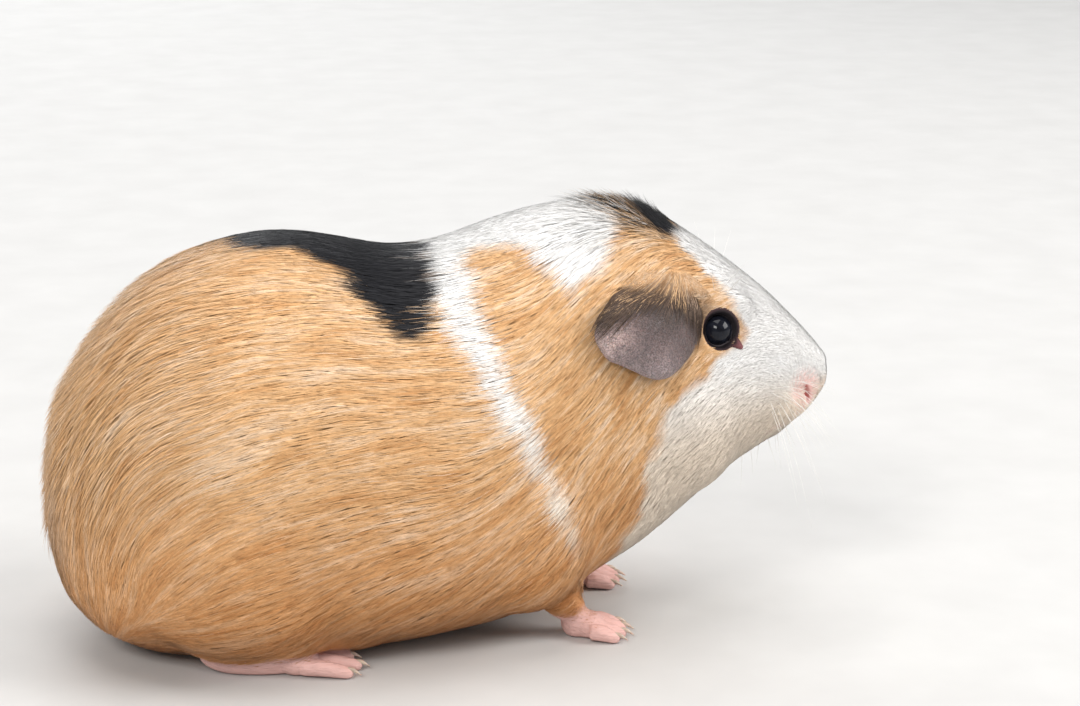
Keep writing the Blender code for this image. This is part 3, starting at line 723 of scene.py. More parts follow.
def grid_triangles(rows, columns, closed=False):
    """Triangles of a grid of points, with its last column joined to its first if closed."""
    wide = columns if closed else columns - 1
    row, column = np.meshgrid(np.arange(rows - 1), np.arange(wide), indexing="ij")
    a = (row * columns + column).ravel()
    b = (row * columns + (column + 1) % columns).ravel()
    c, d = b + columns, a + columns
    return np.concatenate([np.column_stack([a, b, c]), np.column_stack([a, c, d])])


def curve_through(rows, places):
    """Rows of values on one smooth curve through the given rows, by their first column."""
    rows = np.array(rows)
    known = rows[:, 0]
    slopes = np.gradient(rows, known, axis=0)
    index = np.clip(np.searchsorted(known, places) - 1, 0, len(known) - 2)
    span = (known[index + 1] - known[index])[:, None]
    t = (places - known[index])[:, None] / span
    before = (2 * t**3 - 3 * t**2 + 1) * rows[index] + (t**3 - 2 * t**2 + t) * span * slopes[index]
    after = (3 * t**2 - 2 * t**3) * rows[index + 1] + (t**3 - t**2) * span * slopes[index + 1]
    return before + after


def closed_triangles(rows, columns):
    """Triangles of rings of points, closed at both ends by the two points after them."""
    here = np.arange(columns)
    after = (here + 1) % columns
    first, last, end = rows * columns, rows * columns + 1, (rows - 1) * columns
    return np.concatenate([
        grid_triangles(rows, columns, closed=True),
        np.column_stack([np.full(columns, first), after, here]),
        np.column_stack([np.full(columns, last), end + here, end + after]),
    ])


def tube_parts(path, radii, sides):
    """Points and triangles of a closed tapered tube along a path."""
    path = np.asarray(path, float)
    ways = unit(np.gradient(path, axis=0))
    side = unit(np.cross(ways[0], (0.12, 0.31, 0.95)))
    angles = 2 * math.pi * np.arange(sides) / sides
    rings = []
    for centre, way, radius in zip(path, ways, radii):
        side = unit(side - way * (side @ way))
        other = np.cross(way, side)
        rings.append(centre + radius * (np.outer(np.cos(angles), side) + np.outer(np.sin(angles), other)))
    return np.vstack([*rings, path[0], path[-1]]), closed_triangles(len(path), sides)


def joined(parts):
    """Points and triangles of several parts in one."""
    points, triangles, count = [], [], 0
    for part_points, part_triangles in parts:
        points.append(part_points)
        triangles.append(part_triangles + count)
        count += len(part_points)
    return np.vstack(points), np.concatenate(triangles)


def ellipsoid_parts(centre, radii, detail=24):
    """Points and triangles of a closed ellipsoid."""
    turn = np.linspace(0, math.pi, detail)
    profile = np.column_stack([np.cos(turn), np.sin(turn)])
    angles = 2 * math.pi * np.arange(detail * 2) / (detail * 2)
    points = [(a, b * math.cos(t), b * math.sin(t)) for a, b in profile[1:-1] for t in angles]
    points = np.array(points + [(1, 0, 0), (-1, 0, 0)])
    return points * radii + centre, closed_triangles(detail - 2, len(angles))[:, ::-1]


def foot_points(form, side, points):
    """Points of a foot, given ahead of its ankle or wrist, in the model's pose."""
    flat = rotated(np.asarray(points, float).reshape(-1, 3), np.full(len(points), form["heading"]))
    flat = (flat + form["place"]) * (1, side, 1)
    if form is FORE_FOOT:
        return posed(flat)
    return flat + SHIFT


def toe_path(form, across, reach):
    base = np.array((form["length"] * 0.92, across, 0.0))
    way = unit(np.array((1.0, across * TOE_SPREAD, 0.0)))
    shares = (0, TOE_MIDDLE, 1)
    return way, [base + way * reach * share + (0, 0, high) for share, high in zip(shares, TOE_HEIGHTS)]


def foot_parts(form, side):
    """Sole, ball and toes of one foot as closed parts that overlap."""
    length, half_width, height = form["length"], form["half_width"], form["height"]
    sole = ((length * 0.45, 0, height * 0.50), (length * 0.62, half_width * 0.88, height * 0.62))
    ball = ((length * 0.85, 0, height * 0.42), (half_width * 0.95, half_width * 1.05, height * 0.50))
    parts = [ellipsoid_parts(*sole), ellipsoid_parts(*ball)]
    for across, reach in form["toes"]:
        way, path = toe_path(form, across, reach)
        rows = np.column_stack([(0, TOE_MIDDLE, 1), path, TOE_RADII])
        fine = curve_through(rows, np.linspace(0, 1, 12))
        parts.append(tube_parts(fine[:, 1:4], fine[:, 4], 16))
        parts.append(ellipsoid_parts(path[-1], (TOE_RADII[-1] * 1.15, TOE_RADII[-1], TOE_RADII[-1]), 14))
        knuckle = path[0] * 0.35 + path[1] * 0.65 + (0, 0, 0.0004)
        parts.append(ellipsoid_parts(knuckle, (0.0021, 0.0024, 0.0022), 14))
    return [(foot_points(form, side, points), triangles) for points, triangles in parts]


def under_eyes(points):
    """Points of the skin, pressed in where they would cover the eyeballs."""
    flat = straight(points)
    for _, side in SIDES:
        centre, axis = EYE_CENTRE * (1, side, 1), np.array(EYE_AXIS) * (1, side, 1)
        high = (flat - centre) @ axis
        spread = np.linalg.norm(flat - centre - high[:, None] * axis, axis=1)
        ball = np.sqrt(np.maximum(EYE_RADIUS**2 - spread**2, 0))
        excess = np.maximum(high - ball + EYE_CLEARANCE, 0) * (1 - ramp(spread, 0.0042, 0.0052)) * (high > 0)
        flat = flat - excess[:, None] * axis
    return posed(flat)


def smoothed(obj, name, weights, times):
    """Smooths an object where weights are over 0."""
    group = obj.vertex_groups.new(name=name)
    for level in range(1, SMOOTHING_LEVELS + 1):
        chosen = np.nonzero(np.round(weights * SMOOTHING_LEVELS) == level)[0]
        group.add(chosen.tolist(), level / SMOOTHING_LEVELS, "REPLACE")
    smooth = obj.modifiers.new(name, "SMOOTH")
    smooth.factor = 0.5
    smooth.iterations = times
    smooth.vertex_group = name
    applied(obj)


def flesh_and_feet():
    """One mesh of the flesh nodes, grown a little, and the feet."""
    bm = bmesh.new()
    for name in FLESH_NODES:
        node = bmesh.new()
        node.from_mesh(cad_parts[name].data)
        bmesh.ops.remove_doubles(node, verts=node.verts, dist=1e-6)
        bmesh.ops.recalc_face_normals(node, faces=node.faces)
        node.normal_update()
        for vert in node.verts:
            vert.co += vert.normal * SKIN_GROWTH
        grown = bpy.data.meshes.new(name)
        node.to_mesh(grown)
        node.free()
        bm.from_mesh(grown)
    feet = [part for form in (HIND_FOOT, FORE_FOOT) for _, side in SIDES for part in foot_parts(form, side)]
    points, triangles = joined(feet)
    bm.from_mesh(array_mesh("feet", above_floor(points), triangles))
    mesh = bpy.data.meshes.new("skin")
    bm.to_mesh(mesh)
    bm.free()
    return mesh


def make_skin():
    """All flesh fused into one skin that lies under the coat by its depth."""
    skin = add_object("skin", flesh_and_feet())
    remesh = skin.modifiers.new("Fuse", "REMESH")
    remesh.mode = "VOXEL"
    remesh.voxel_size = SKIN_GRID
    smooth = skin.modifiers.new("Smooth", "SMOOTH")
    smooth.factor = 0.5
    smooth.iterations = SKIN_PASSES
    triangulate = skin.modifiers.new("Triangles", "TRIANGULATE")
    triangulate.quad_method = "SHORTEST_DIAGONAL"
    applied(skin)
    fewer = skin.modifiers.new("Fewer", "DECIMATE")
    fewer.ratio = SKIN_TRIANGLES / len(skin.data.polygons)
    applied(skin)
    points, normals = coordinates(skin.data), normals_of(skin.data)
    depth = coat_values(points)[1]
    move_to(skin.data, points - normals * depth[:, None])
    smoothed(skin, "softened", ramp(depth, 0.0008, 0.0025), SKIN_PASSES)
    points = coordinates(skin.data)
    by_eye = np.maximum(feature(points, EYE_CENTRE, 0.0080, 0.0180), feature(points, BROW, 0.0040, 0.0140))
    smoothed(skin, "calm", by_eye, CALM_PASSES)
    skin.data.shade_smooth()
    move_to(skin.data, above_floor(under_eyes(coordinates(skin.data))))
    return skin


class Surface:
    """The skin's shape: nearest places, and smooth normals there."""

    def __init__(self, obj):
        mesh = obj.data
        mesh.calc_loop_triangles()
        corners = np.empty(len(mesh.loop_triangles) * 3, np.int32)
        mesh.loop_triangles.foreach_get("vertices", corners)
        self.triangles = corners.reshape(-1, 3)
        self.points, self.normals = coordinates(mesh), normals_of(mesh)
        self.tree = BVHTree.FromPolygons(self.points.tolist(), self.triangles.tolist())

    def nearest(self, points):
        """The nearest places on the skin, with the normals there."""
        found = [self.tree.find_nearest(point) for point in points.tolist()]
        places = np.array([hit[0] for hit in found])
        faces = np.array([hit[2] for hit in found])
        return places, self.normals_at(places, faces)

    def normals_at(self, places, faces):
        a, b, c = (self.points[self.triangles[faces, n]] for n in range(3))
        ab, ac, ap = b - a, c - a, places - a
        bb, bc, cc = (ab * ab).sum(1), (ab * ac).sum(1), (ac * ac).sum(1)
        pb, pc = (ap * ab).sum(1), (ap * ac).sum(1)
        whole = np.maximum(bb * cc - bc * bc, 1e-24)
        v, w = (cc * pb - bc * pc) / whole, (bb * pc - bc * pb) / whole
        shares = np.column_stack([1 - v - w, v, w])[:, :, None]
        return unit((self.normals[self.triangles[faces]] * shares).sum(1))

    def scattered(self, density_of):
        """Places spread over the skin, at a density in tufts to a square millimetre."""
        a, b, c = (self.points[self.triangles[:, n]] for n in range(3))
        areas = np.linalg.norm(np.cross(b - a, c - a), axis=1) / 2 * 1e6
        total = np.cumsum(areas * density_of((a + b + c) / 3))
        picks = np.arange(0.5, total[-1], 1.0) + random.uniform(-0.5, 0.5, int(total[-1] + 0.5))
        faces = np.searchsorted(total, np.clip(picks, 0, total[-1] - 1e-6))
        u, v = random.random(len(faces)), random.random(len(faces))
        over = u + v > 1
        u, v = np.where(over, 1 - u, u)[:, None], np.where(over, 1 - v, v)[:, None]
        places = a[faces] + u * (b - a)[faces] + v * (c - a)[faces]
        return places, self.normals_at(places, faces)


def tuft_paths(surface, roots, normals, lengths, spread, stations):
    """Stations of tufts along the skin as (stations, tufts, 3), with the normals there."""
    paths, across = [roots], [normals]
    ways = lie_ways(roots, normals)
    fan = np.cross(normals, ways) * spread[:, None]
    for step in np.diff(stations):
        ways = unit(lie_ways(paths[-1], across[-1]) + fan)
        guess = paths[-1] + ways * (lengths * step)[:, None]
        places, found = surface.nearest(guess)
        paths.append(places)
        across.append(found)
    return np.array(paths), np.array(across)


def streaks(paths, stations, size, offset):
    """A value from 0 to 1 for each tuft that runs on along the lie of the coat."""
    total = np.zeros(paths.shape[1])
    count = 9
    for share in np.linspace(0, 1, count):
        step = min(int(np.searchsorted(stations, share, side="right")) - 1, len(stations) - 2)
        t = (share - stations[step]) / (stations[step + 1] - stations[step])
        total += smooth_noise(paths[step] * (1 - t) + paths[step + 1] * t, size, offset)
    value = total / count
    return np.clip(0.5 + (value - value.mean()) / (4 * value.std()), 0, 1)


def clumped(paths, stations, every, pull):
    """Draws each tuft's tip towards that of a leading tuft near it."""
    count = paths.shape[1]
    leaders = np.arange(0, count, every)
    tree = KDTree(len(leaders))
    for index, leader in enumerate(leaders.tolist()):
        tree.insert(paths[1, leader].tolist(), index)
    tree.balance()
    nearest = leaders[[tree.find(point)[1] for point in paths[1].tolist()]]
    share = (stations**1.3)[:, None, None] * pull[None, :, None]
    return paths + share * (paths[:, nearest] - paths)


def tuft_rings(paths, normals, widths, thickness, station_widths):
    """Points of each tuft, its root, rings and tip, as (tufts, points, 3), and their normals."""
    lean = random.normal(0, 0.06, paths.shape[1:])
    rings, facing = [paths[0]], [unit(normals[0] + lean)]
    for station, share in enumerate(station_widths, start=1):
        way = unit(paths[station + 1] - paths[station - 1])
        across = unit(np.cross(way, normals[station]))
        up = np.cross(across, way)
        width = (widths * share)[:, None]
        for turn in range(TUFT_SIDES):
            angle = -math.pi / 2 + 2 * math.pi * turn / TUFT_SIDES
            aside, above = across * math.cos(angle), up * math.sin(angle)
            off = aside + above
            rings.append(paths[station] + (aside + above * thickness) * width / 2)
            facing.append(unit(up + 0.14 * off + lean))
    rings.append(paths[-1])
    facing.append(unit(up + lean))
    return np.array(rings).transpose(1, 0, 2), np.array(facing).transpose(1, 0, 2)


def tuft_triangles(rings):
    """Triangles of one tuft, and each corner's place on its patch of the map."""
    turns = [(n, (n + 1) % TUFT_SIDES, n / TUFT_SIDES, (n + 1) / TUFT_SIDES) for n in range(TUFT_SIDES)]
    high, tip = rings + 1, rings * TUFT_SIDES + 1
    triangles = [(0, here + 1, after + 1) for here, after, _, _ in turns]
    places = [(((left + right) / 2, 0.0), (left, 1 / high), (right, 1 / high)) for _, _, left, right in turns]
    for ring in range(1, rings):
        first = 1 + (ring - 1) * TUFT_SIDES
        low, top = ring / high, (ring + 1) / high
        for here, after, left, right in turns:
            a, b = first + here, first + after
            c, d = b + TUFT_SIDES, a + TUFT_SIDES
            triangles += [(a, c, b), (a, d, c)]
            places += [((left, low), (right, top), (right, low)), ((left, low), (left, top), (right, top))]
    low = rings / high
    for here, after, left, right in turns:
        triangles.append((tip - TUFT_SIDES + here, tip, tip - TUFT_SIDES + after))
        places.append(((left, low), ((left + right) / 2, 1.0), (right, low)))
    return np.array(triangles), np.array(places)


def bake_places(roots):
    """A place on the map for each root: along the body one way, round it the other."""
    along, turn, _ = on_body(roots)
    across = 0.5 + turn / (2 * math.pi) * 0.96
    return np.column_stack([np.interp(along, (-0.116, 0.118), (0.02, 0.98)), across])


def dress(piece, look, slot, *replaced):
    """Gives a piece its material and body, and hides the CAD nodes that it stands for. The slot is not used.
    """
    piece.data.materials.append(look)
    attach(piece, "root")
    if replaced:
        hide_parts(*replaced)


def add_piece(name, points, triangles, look, slot, *replaced, colours=None):
    """A piece of the model from arrays, with a colour at each point where it has them."""
    mesh = array_mesh(name, points, triangles)
    if colours is not None:
        paint(mesh, colours)
    dress(add_object(name, mesh), look, slot, *replaced)


def tuft_piece(name, roots, rings, facing, colours, look, slot):
    """One coat piece: tufts as closed tapered bodies, coloured, with their map."""
    count, size = rings.shape[:2]
    pattern, places = tuft_triangles((size - 2) // TUFT_SIDES)
    triangles = (pattern[None] + (np.arange(count) * size)[:, None, None]).reshape(-1, 3)
    mesh = array_mesh(name, above_floor(rings.reshape(-1, 3)), triangles)
    paint(mesh, colours.reshape(-1, 3))
    mesh.normals_split_custom_set_from_vertices(facing.reshape(-1, 3))
    uv = bake_places(roots)[:, None, None, :] + (places[None] - 0.5) * BAKE_PATCH
    mesh.uv_layers.new(name="OFBake").data.foreach_set("uv", uv.astype(np.float32).ravel())
    dress(add_object(name, mesh), look, slot)


def tuft_pieces(name, chosen, tufts, look, slot):
    """The chosen ones of some tufts, given root first, as one piece on each side."""
    turn = on_body(tufts[0])[1]
    for word, side in SIDES:
        here = chosen & ((turn >= 0) == (side > 0))
        tuft_piece(f"{name}_{word}", *(values[here] for values in tufts), look, slot)


def by_ring(shades):
    """One value for each point of a tuft from one for each of its stations."""
    return np.concatenate([shades[:1], np.repeat(shades[1:-1], TUFT_SIDES, axis=0), shades[-1:]])


def tuft_colours(places, streak, jitter, shades):
    """Root to tip colours of each tuft, from the patch that it lies in, times a shade for each station:
    painted shade, darker at the root and a little lighter at the tip.
    """
    count = len(places)
    sample = places + random.normal(0, 1, (count, 3)) * jitter[:, None]
    base = coat_colour(sample, streak, random.random(count)) * (1 + random.normal(0, 0.05, count))[:, None]
    return base[:, None, :] * by_ring(np.array(shades))[None, :, None]


def risen(paths, across, stations, depth, loose):
    """Tufts raised from the skin to the coat's depth, their tips by a little more."""
    heights = (1 - (1 - stations) ** 3)[:, None] * depth + (stations**2)[:, None] * loose
    return paths + across * heights[:, :, None]


def make_coat(surface, look):
    """The whole short coat, in pieces from rump to nose."""
    def density_of(points):
        return coat_values(points)[3] * (1 - bare_share(points))

    stations = SHORT_STATIONS
    roots, normals = surface.scattered(density_of)
    length, depth, width, _ = coat_values(roots)
    count = len(roots)
    length = length * random.uniform(*TUFT_LENGTHS, count)
    fan = random.normal(0, TUFT_FAN, count)
    paths, across = tuft_paths(surface, roots, normals, length, fan, stations)
    fine, broad = streaks(paths, stations, 0.0009, 5.5), streaks(paths, stations, 0.0032, 8.1)
    paths = clumped(paths, stations, LEADER_EVERY, np.clip(random.normal(*LEADER_PULL, count), 0, 0.4))
    lift = 0.90 + 0.08 * random.random(count) + 0.06 * (broad - 0.5)
    loose = random.random(count) ** 3 * stand_off(roots)
    paths = risen(paths, across, stations, depth * lift, loose)
    paths[0] -= across[0] * ROOT_DEPTH
    width = width * random.uniform(*TUFT_WIDTHS, count)
    rings, facing = tuft_rings(paths, across, width, TUFT_THICKNESS, SHORT_WIDTHS)
    middle = (paths[1] + paths[2]) / 2
    streak = np.clip(0.5 + 0.9 * (fine - 0.5) + 0.5 * (broad - 0.5), 0, 1)
    # Painted shade along each tuft: darker at the root, a little lighter at the tip
    colours = tuft_colours(middle, streak, np.minimum(0.0007, depth * 0.3), (0.90, 0.98, 1.03))
    along = on_body(roots)[0]
    for name, slot, start, end in COAT_ZONES:
        chosen = (along >= start) & (along < end)
        tuft_pieces(name, chosen, (roots, rings, facing, colours), look, slot)


def make_guard_hair(surface, look):
    """Sparse long hairs over the coat, looser over the rump and between the ears."""
    def density_of(points):
        along, turn, _ = on_body(points)
        top = 1 - ramp(np.abs(turn), math.radians(110), math.radians(150))
        return (1 - ramp(along, 0.064, 0.072)) * top * (0.35 + 900 * stand_off(points))

    stations = LONG_STATIONS
    roots, normals = surface.scattered(density_of)
    chosen = random.permutation(len(roots))[:GUARD_HAIRS]
    roots, normals = roots[chosen], normals[chosen]
    count = len(roots)
    length, depth, _, _ = coat_values(roots)
    length = length * random.uniform(*GUARD_LENGTHS, count)
    fan = random.normal(0, GUARD_FAN, count)
    paths, across = tuft_paths(surface, roots, normals, length, fan, stations)
    fine = streaks(paths, stations, 0.0011, 3.5)
    loose = random.random(count) ** 1.6 * stand_off(roots)
    paths = risen(paths, across, stations, depth * 0.98, loose)
    width = GUARD_WIDTH * random.uniform(*GUARD_WIDTHS, count)
    rings, facing = tuft_rings(paths, across, width, GUARD_THICKNESS, LONG_WIDTHS)
    middle, streak = (paths[1] + paths[2]) / 2, np.clip(fine * 0.7 + 0.35, 0, 1)
    # Painted shade along each guard hair: darker at the root, lighter at the tip
    colours = tuft_colours(middle, streak, np.full(count, 0.0008), (0.88, 0.95, 1.02, 1.06))
    tuft_pieces("guard_hair", np.full(count, True), (roots, rings, facing, colours), look, "coat_orange")


def ear_sheet(share, out):
    """Points of the ear's middle surface, on the left of the straight head."""
    edge = np.array(EAR_EDGE)
    steps = np.linalg.norm(np.diff(edge, axis=0), axis=1)
    along = np.concatenate([[0.0], np.cumsum(steps)])
    edge = curve_through(np.column_stack([along / along[-1], edge]), share)[:, 1:]
    root = EAR_ROOT_FRONT + share[:, None] * (EAR_ROOT_BACK - EAR_ROOT_FRONT)
    middle = (root + edge) / 2
    swell = np.sin(math.pi * share)
    top = np.maximum(root[:, 2], edge[:, 2]) + EAR_ARCH_UP
    arch = middle + np.column_stack([0 * swell, EAR_ARCH_OUT * swell, (top - middle[:, 2]) * swell])
    t = out[:, None]
    return root * (1 - t) ** 2 + arch * 2 * t * (1 - t) + edge * t**2


def ear_normals(share, out):
    small = 1e-3
    slope_out = ear_sheet(share, out + small) - ear_sheet(share, out - small)
    inner = np.clip(share, small, 1 - small)
    slope_along = ear_sheet(inner + small, out) - ear_sheet(inner - small, out)
    return unit(np.cross(slope_out, slope_along))


def make_ear(word, side, look):
    """One drooping ear: a thin petal, thicker at its root, with a soft rim."""
    rows, columns = EAR_STEPS_ALONG + 1, EAR_STEPS_OUT + 1
    share, out = np.meshgrid(np.linspace(0, 1, rows), np.linspace(0, 1, columns), indexing="ij")
    share, out = share.ravel(), out.ravel()
    middle, normal = ear_sheet(share, out), ear_normals(share, out)
    ripple = (smooth_noise(middle, 0.0050, 3.1) - 0.5) * 0.0009 * out
    ripple += (smooth_noise(middle, 0.0016, 7.7) - 0.5) * 0.00022
    middle = middle + normal * ripple[:, None]
    thick = EAR_EDGE_THICKNESS + (EAR_ROOT_THICKNESS - EAR_EDGE_THICKNESS) * (1 - out) ** 2
    rim = np.sqrt(np.clip((1 - out) / EAR_RIM, 0.0, 1))
    rim *= np.sqrt(np.clip(np.minimum(share, 1 - share) / EAR_RIM_ENDS, 0.0, 1))
    half = normal * (thick * np.clip(rim, 0.15, 1) / 2)[:, None]
    points = np.vstack([middle + half, middle - half])
    count = len(middle)
    faces = grid_triangles(rows, columns)
    grid = np.arange(count).reshape(rows, columns)
    border = np.concatenate([grid[0], grid[1:, -1], grid[-1, -2::-1], grid[-2:0:-1, 0]])
    after = np.roll(border, -1)
    triangles = np.concatenate([
        faces,
        faces[:, ::-1] + count,
        np.column_stack([after, border, count + border]),
        np.column_stack([after, count + border, count + after]),
    ])
    along_ear, off_root = np.concatenate([share, share]), np.concatenate([out, out])
    colour = np.full((len(points), 3), EAR_TONE)
    for tone, place, far, widths in EAR_PATCHES:
        gap = ((along_ear - place) / widths[0]) ** 2 + ((off_root - far) / widths[1]) ** 2
        colour = colour + np.exp(-gap)[:, None] * (np.array(tone) - colour)
    speckle = smooth_noise(points, 0.00045, 1.3) - 0.5
    patchy = smooth_noise(points, 0.0035, 6.1) - 0.5
    colour = colour * (1 + 0.34 * speckle + 0.30 * patchy)[:, None]
    args = (on_side(points, side), triangles[:, ::side], look, "ear_skin", f"ear_{word}")
    add_piece(f"ear_skin_{word}", *args, colours=colour)


def over_ear(side, share, out, height):
    """Stations of hair over the ear at heights over its skin, and the normals there."""
    count = share.shape[1]
    share = np.clip(share, 0.003, 0.997)
    normals = np.array([ear_normals(s, o) for s, o in zip(share, out)])
    places = np.array([ear_sheet(s, o) for s, o in zip(share, out)])
    places = places + normals * (EAR_EDGE_THICKNESS / 2 + height)[:, :, None]
    paths = on_side(places.reshape(-1, 3), side).reshape(-1, count, 3)
    across = rotated(normals.reshape(-1, 3) * (1, side, 1), np.full(share.size, HEAD_TURN))
    return paths, across.reshape(-1, count, 3)


def make_mane(word, side, surface, look):
    """The fan of hair that covers the ear's root."""
    count = MANE_HAIRS
    cross = -0.08 + 1.22 * random.random(count) ** 1.2
    rows = np.array(MANE_ROWS)
    end, reach = (np.interp(cross, rows[:, 0], rows[:, n]) for n in (1, 2))
    end = end + random.normal(0, 0.03, count)
    rare = 1 if side < 0 else MANE_PALE_LEFT
    pale = random.random(count) * rare < np.interp(cross, MANE_PALE_PLACES, MANE_PALE_SHARES)
    reach = reach * (0.25 + 0.85 * random.random(count) ** 1.3) * np.where(pale, 0.80, 1.25)
    crest = MANE_STATIONS[MANE_CREST]
    t = np.clip((MANE_STATIONS - crest) / (1 - crest), 0, 1)[:, None]
    start = 0.12 * random.uniform(0.6, 1.2, count)
    out = start + np.maximum(reach - start, 0.05) * t
    height = 0.0003 + 0.0008 * np.where(pale, 0.9, 1.0) * random.random(count) * (1 - t) + 0.0002 * t
    paths, across = over_ear(side, cross + (end - cross) * t, out, height)
    line = EAR_ROOT_FRONT + cross[:, None] * (EAR_ROOT_BACK - EAR_ROOT_FRONT)
    share = random.uniform(0.15, 1.1, count)[:, None]
    for station, part, above in ((0, 1.0, -0.0002), (1, 0.5, 0.0010)):
        middle = line + share * part * (EAR_WHORL - line) + random.normal(0, 0.0005, (count, 3))
        places, normals = surface.nearest(on_side(middle, side))
        paths[station], across[station] = places + normals * above, normals
    width = MANE_HAIR_WIDTH * random.uniform(0.6, 1.2, count)
    rings, facing = tuft_rings(paths, across, width, EAR_HAIR_THICKNESS, MANE_WIDTHS)
    tone = np.where(cross[:, None] < 0.22, MANE_FRONT, MANE_BACK)
    tone = np.where(pale[:, None], tone, MANE_DARK * random.uniform(0.7, 2.4, (count, 1)))
    tone = tone * random.uniform(0.8, 1.18, (count, 1))
    root_tone = coat_colour(paths[0], random.random(count))
    share = by_ring(ramp(MANE_STATIONS, 0.02, 0.42))[None, :, None]
    colours = root_tone[:, None, :] * (1 - share) + tone[:, None, :] * share
    tuft_piece(f"ear_mane_{word}", paths[0], rings, facing, colours, look, "coat_orange")


def ear_tufts(name, paths, rings, facing, tone, look, slot):
    """Tufts over an ear, each in one tone."""
    colours = np.repeat(tone[:, None, :], rings.shape[1], axis=1)
    tuft_piece(name, paths[0], rings, facing, colours, look, slot)


def make_ear_edge(word, side, look):
    """Dark hair along the ear's back edge."""
    count, t = EDGE_HAIRS, LONG_STATIONS[:, None]
    start, base = random.uniform(0.86, 0.98, count), random.uniform(0.16, 0.62, count)
    out = base + random.uniform(0.20, 0.40, count) * t
    paths, across = over_ear(side, start + 0.03 * t, out, np.full(out.shape, 0.0002) + 0.0005 * t)
    width = EDGE_HAIR_WIDTH * random.uniform(0.6, 1.2, count)
    rings, facing = tuft_rings(paths, across, width, EAR_HAIR_THICKNESS, LONG_WIDTHS)
    dark = random.random(count)[:, None] < 0.75
    tone = np.where(dark, MANE_DARK, MANE_BACK) * random.uniform(0.7, 1.2, (count, 1))
    ear_tufts(f"ear_edge_hair_{word}", paths, rings, facing, tone, look, "coat_orange")


def make_ear_down(word, side, look):
    """Fine down over the ear's skin."""
    count, t = DOWN_HAIRS, SHORT_STATIONS[:, None]
    start, base = random.uniform(0.02, 0.98, count), random.uniform(0.10, 0.97, count)
    out = base + random.uniform(0.02, 0.05, count) * t
    share = start + random.normal(0.01, 0.02, count) * t
    paths, across = over_ear(side, share, out, np.full(out.shape, 0.00002) + 0.00014 * t)
    width = np.full(count, DOWN_HAIR_WIDTH)
    rings, facing = tuft_rings(paths, across, width, EAR_HAIR_THICKNESS, SHORT_WIDTHS)
    near_root = (1 - ramp(base, 0.25, 0.65)) * (1 - ramp(np.abs(start - 0.45), 0.2, 0.5))
    tone = DOWN_TONE + near_root[:, None] * (MANE_DARK * 0.6 - DOWN_TONE)
    tone = tone * random.uniform(0.6, 1.35, (count, 1))
    ear_tufts(f"ear_down_{word}", paths, rings, facing, tone, look, "ear_skin")


def make_eye(word, side, look):
    """A glossy eyeball, a little fuller in front."""
    points, triangles = ellipsoid_parts((0, 0, 0), (EYE_RADIUS, EYE_RADIUS, EYE_RADIUS), 64)
    axis = np.array(EYE_AXIS)
    share = np.clip(points @ axis / EYE_RADIUS, 0, 1)
    points = points + axis * (share**8 * 0.00035)[:, None]
    points = on_side(points + EYE_CENTRE, side)
    add_piece(f"eyeball_{word}", points, triangles[:, ::side], look, "eye_dark", f"eye_{word}")


def make_lids(word, side, surface, look):
    """The bare rim of both lids, from the eyeball out to the skin."""
    ahead = (Vector((1, 0, 0)) - EYE_AXIS * EYE_AXIS.x).normalized()
    up, ahead, axis = np.array(EYE_AXIS.cross(ahead)), np.array(ahead), np.array(EYE_AXIS)
    if up[2] < 0:
        up = -up
    angles = 2 * math.pi * np.arange(LID_STEPS) / LID_STEPS
    spokes = np.outer(np.cos(angles), ahead) + np.outer(np.sin(angles), up)
    off = (angles - LID_CORNER + math.pi) % (2 * math.pi) - math.pi
    corner = np.exp(-((off / LID_CORNER_WIDTH) ** 2))
    inner = 1 / np.hypot(np.cos(angles) / LID_HALF_WIDTH, np.sin(angles) / LID_HALF_HEIGHT)
    inner = inner + 0.0005 * corner
    thick = 0.95 + 0.40 * np.cos(angles - math.radians(35))
    centre = on_side(EYE_CENTRE, side)[0]
    way = unit(on_side(EYE_CENTRE + axis, side)[0] - centre)
    rings = []
    for out, over_ball, over_skin in LID_PROFILE:
        spread = inner + out * thick + LID_CORNER_REACH * corner * ramp(np.array(out), 0.0003, 0.0017)
        ball = np.sqrt(np.maximum(EYE_RADIUS**2 - spread**2, 0))
        start = on_side(EYE_CENTRE + spokes * spread[:, None] + axis * LID_START, side)
        hits = [surface.tree.ray_cast(point, (-way).tolist()) for point in start.tolist()]
        skin = LID_START - np.array([hit[3] if hit[0] is not None else LID_START for hit in hits])
        skin = np.mean([np.roll(skin, step) for step in range(-5, 6)], axis=0)
        height = np.maximum(ball + over_ball, skin + over_skin)
        rings.append(start - way * (LID_START - height)[:, None])
    rows = len(rings)
    fold = np.repeat(np.arange(rows), LID_STEPS) / (rows - 1)
    low = np.tile(np.clip(-np.sin(angles), 0, 1), rows)
    colour = LID_DARK + ramp(fold, 0.55, 1.0)[:, None] * (LID_BROWN - LID_DARK)
    colour = colour + (low * (1 - ramp(fold, 0.12, 0.22)))[:, None] * (LID_WET - colour)
    colour = colour + (np.tile(corner, rows) * ramp(fold, 0.45, 0.7))[:, None] * (LID_PINK - colour)
    triangles = grid_triangles(rows, LID_STEPS, closed=True)[:, ::side]
    add_piece(f"eyelids_{word}", np.vstack(rings), triangles, look, "ear_skin", colours=colour)


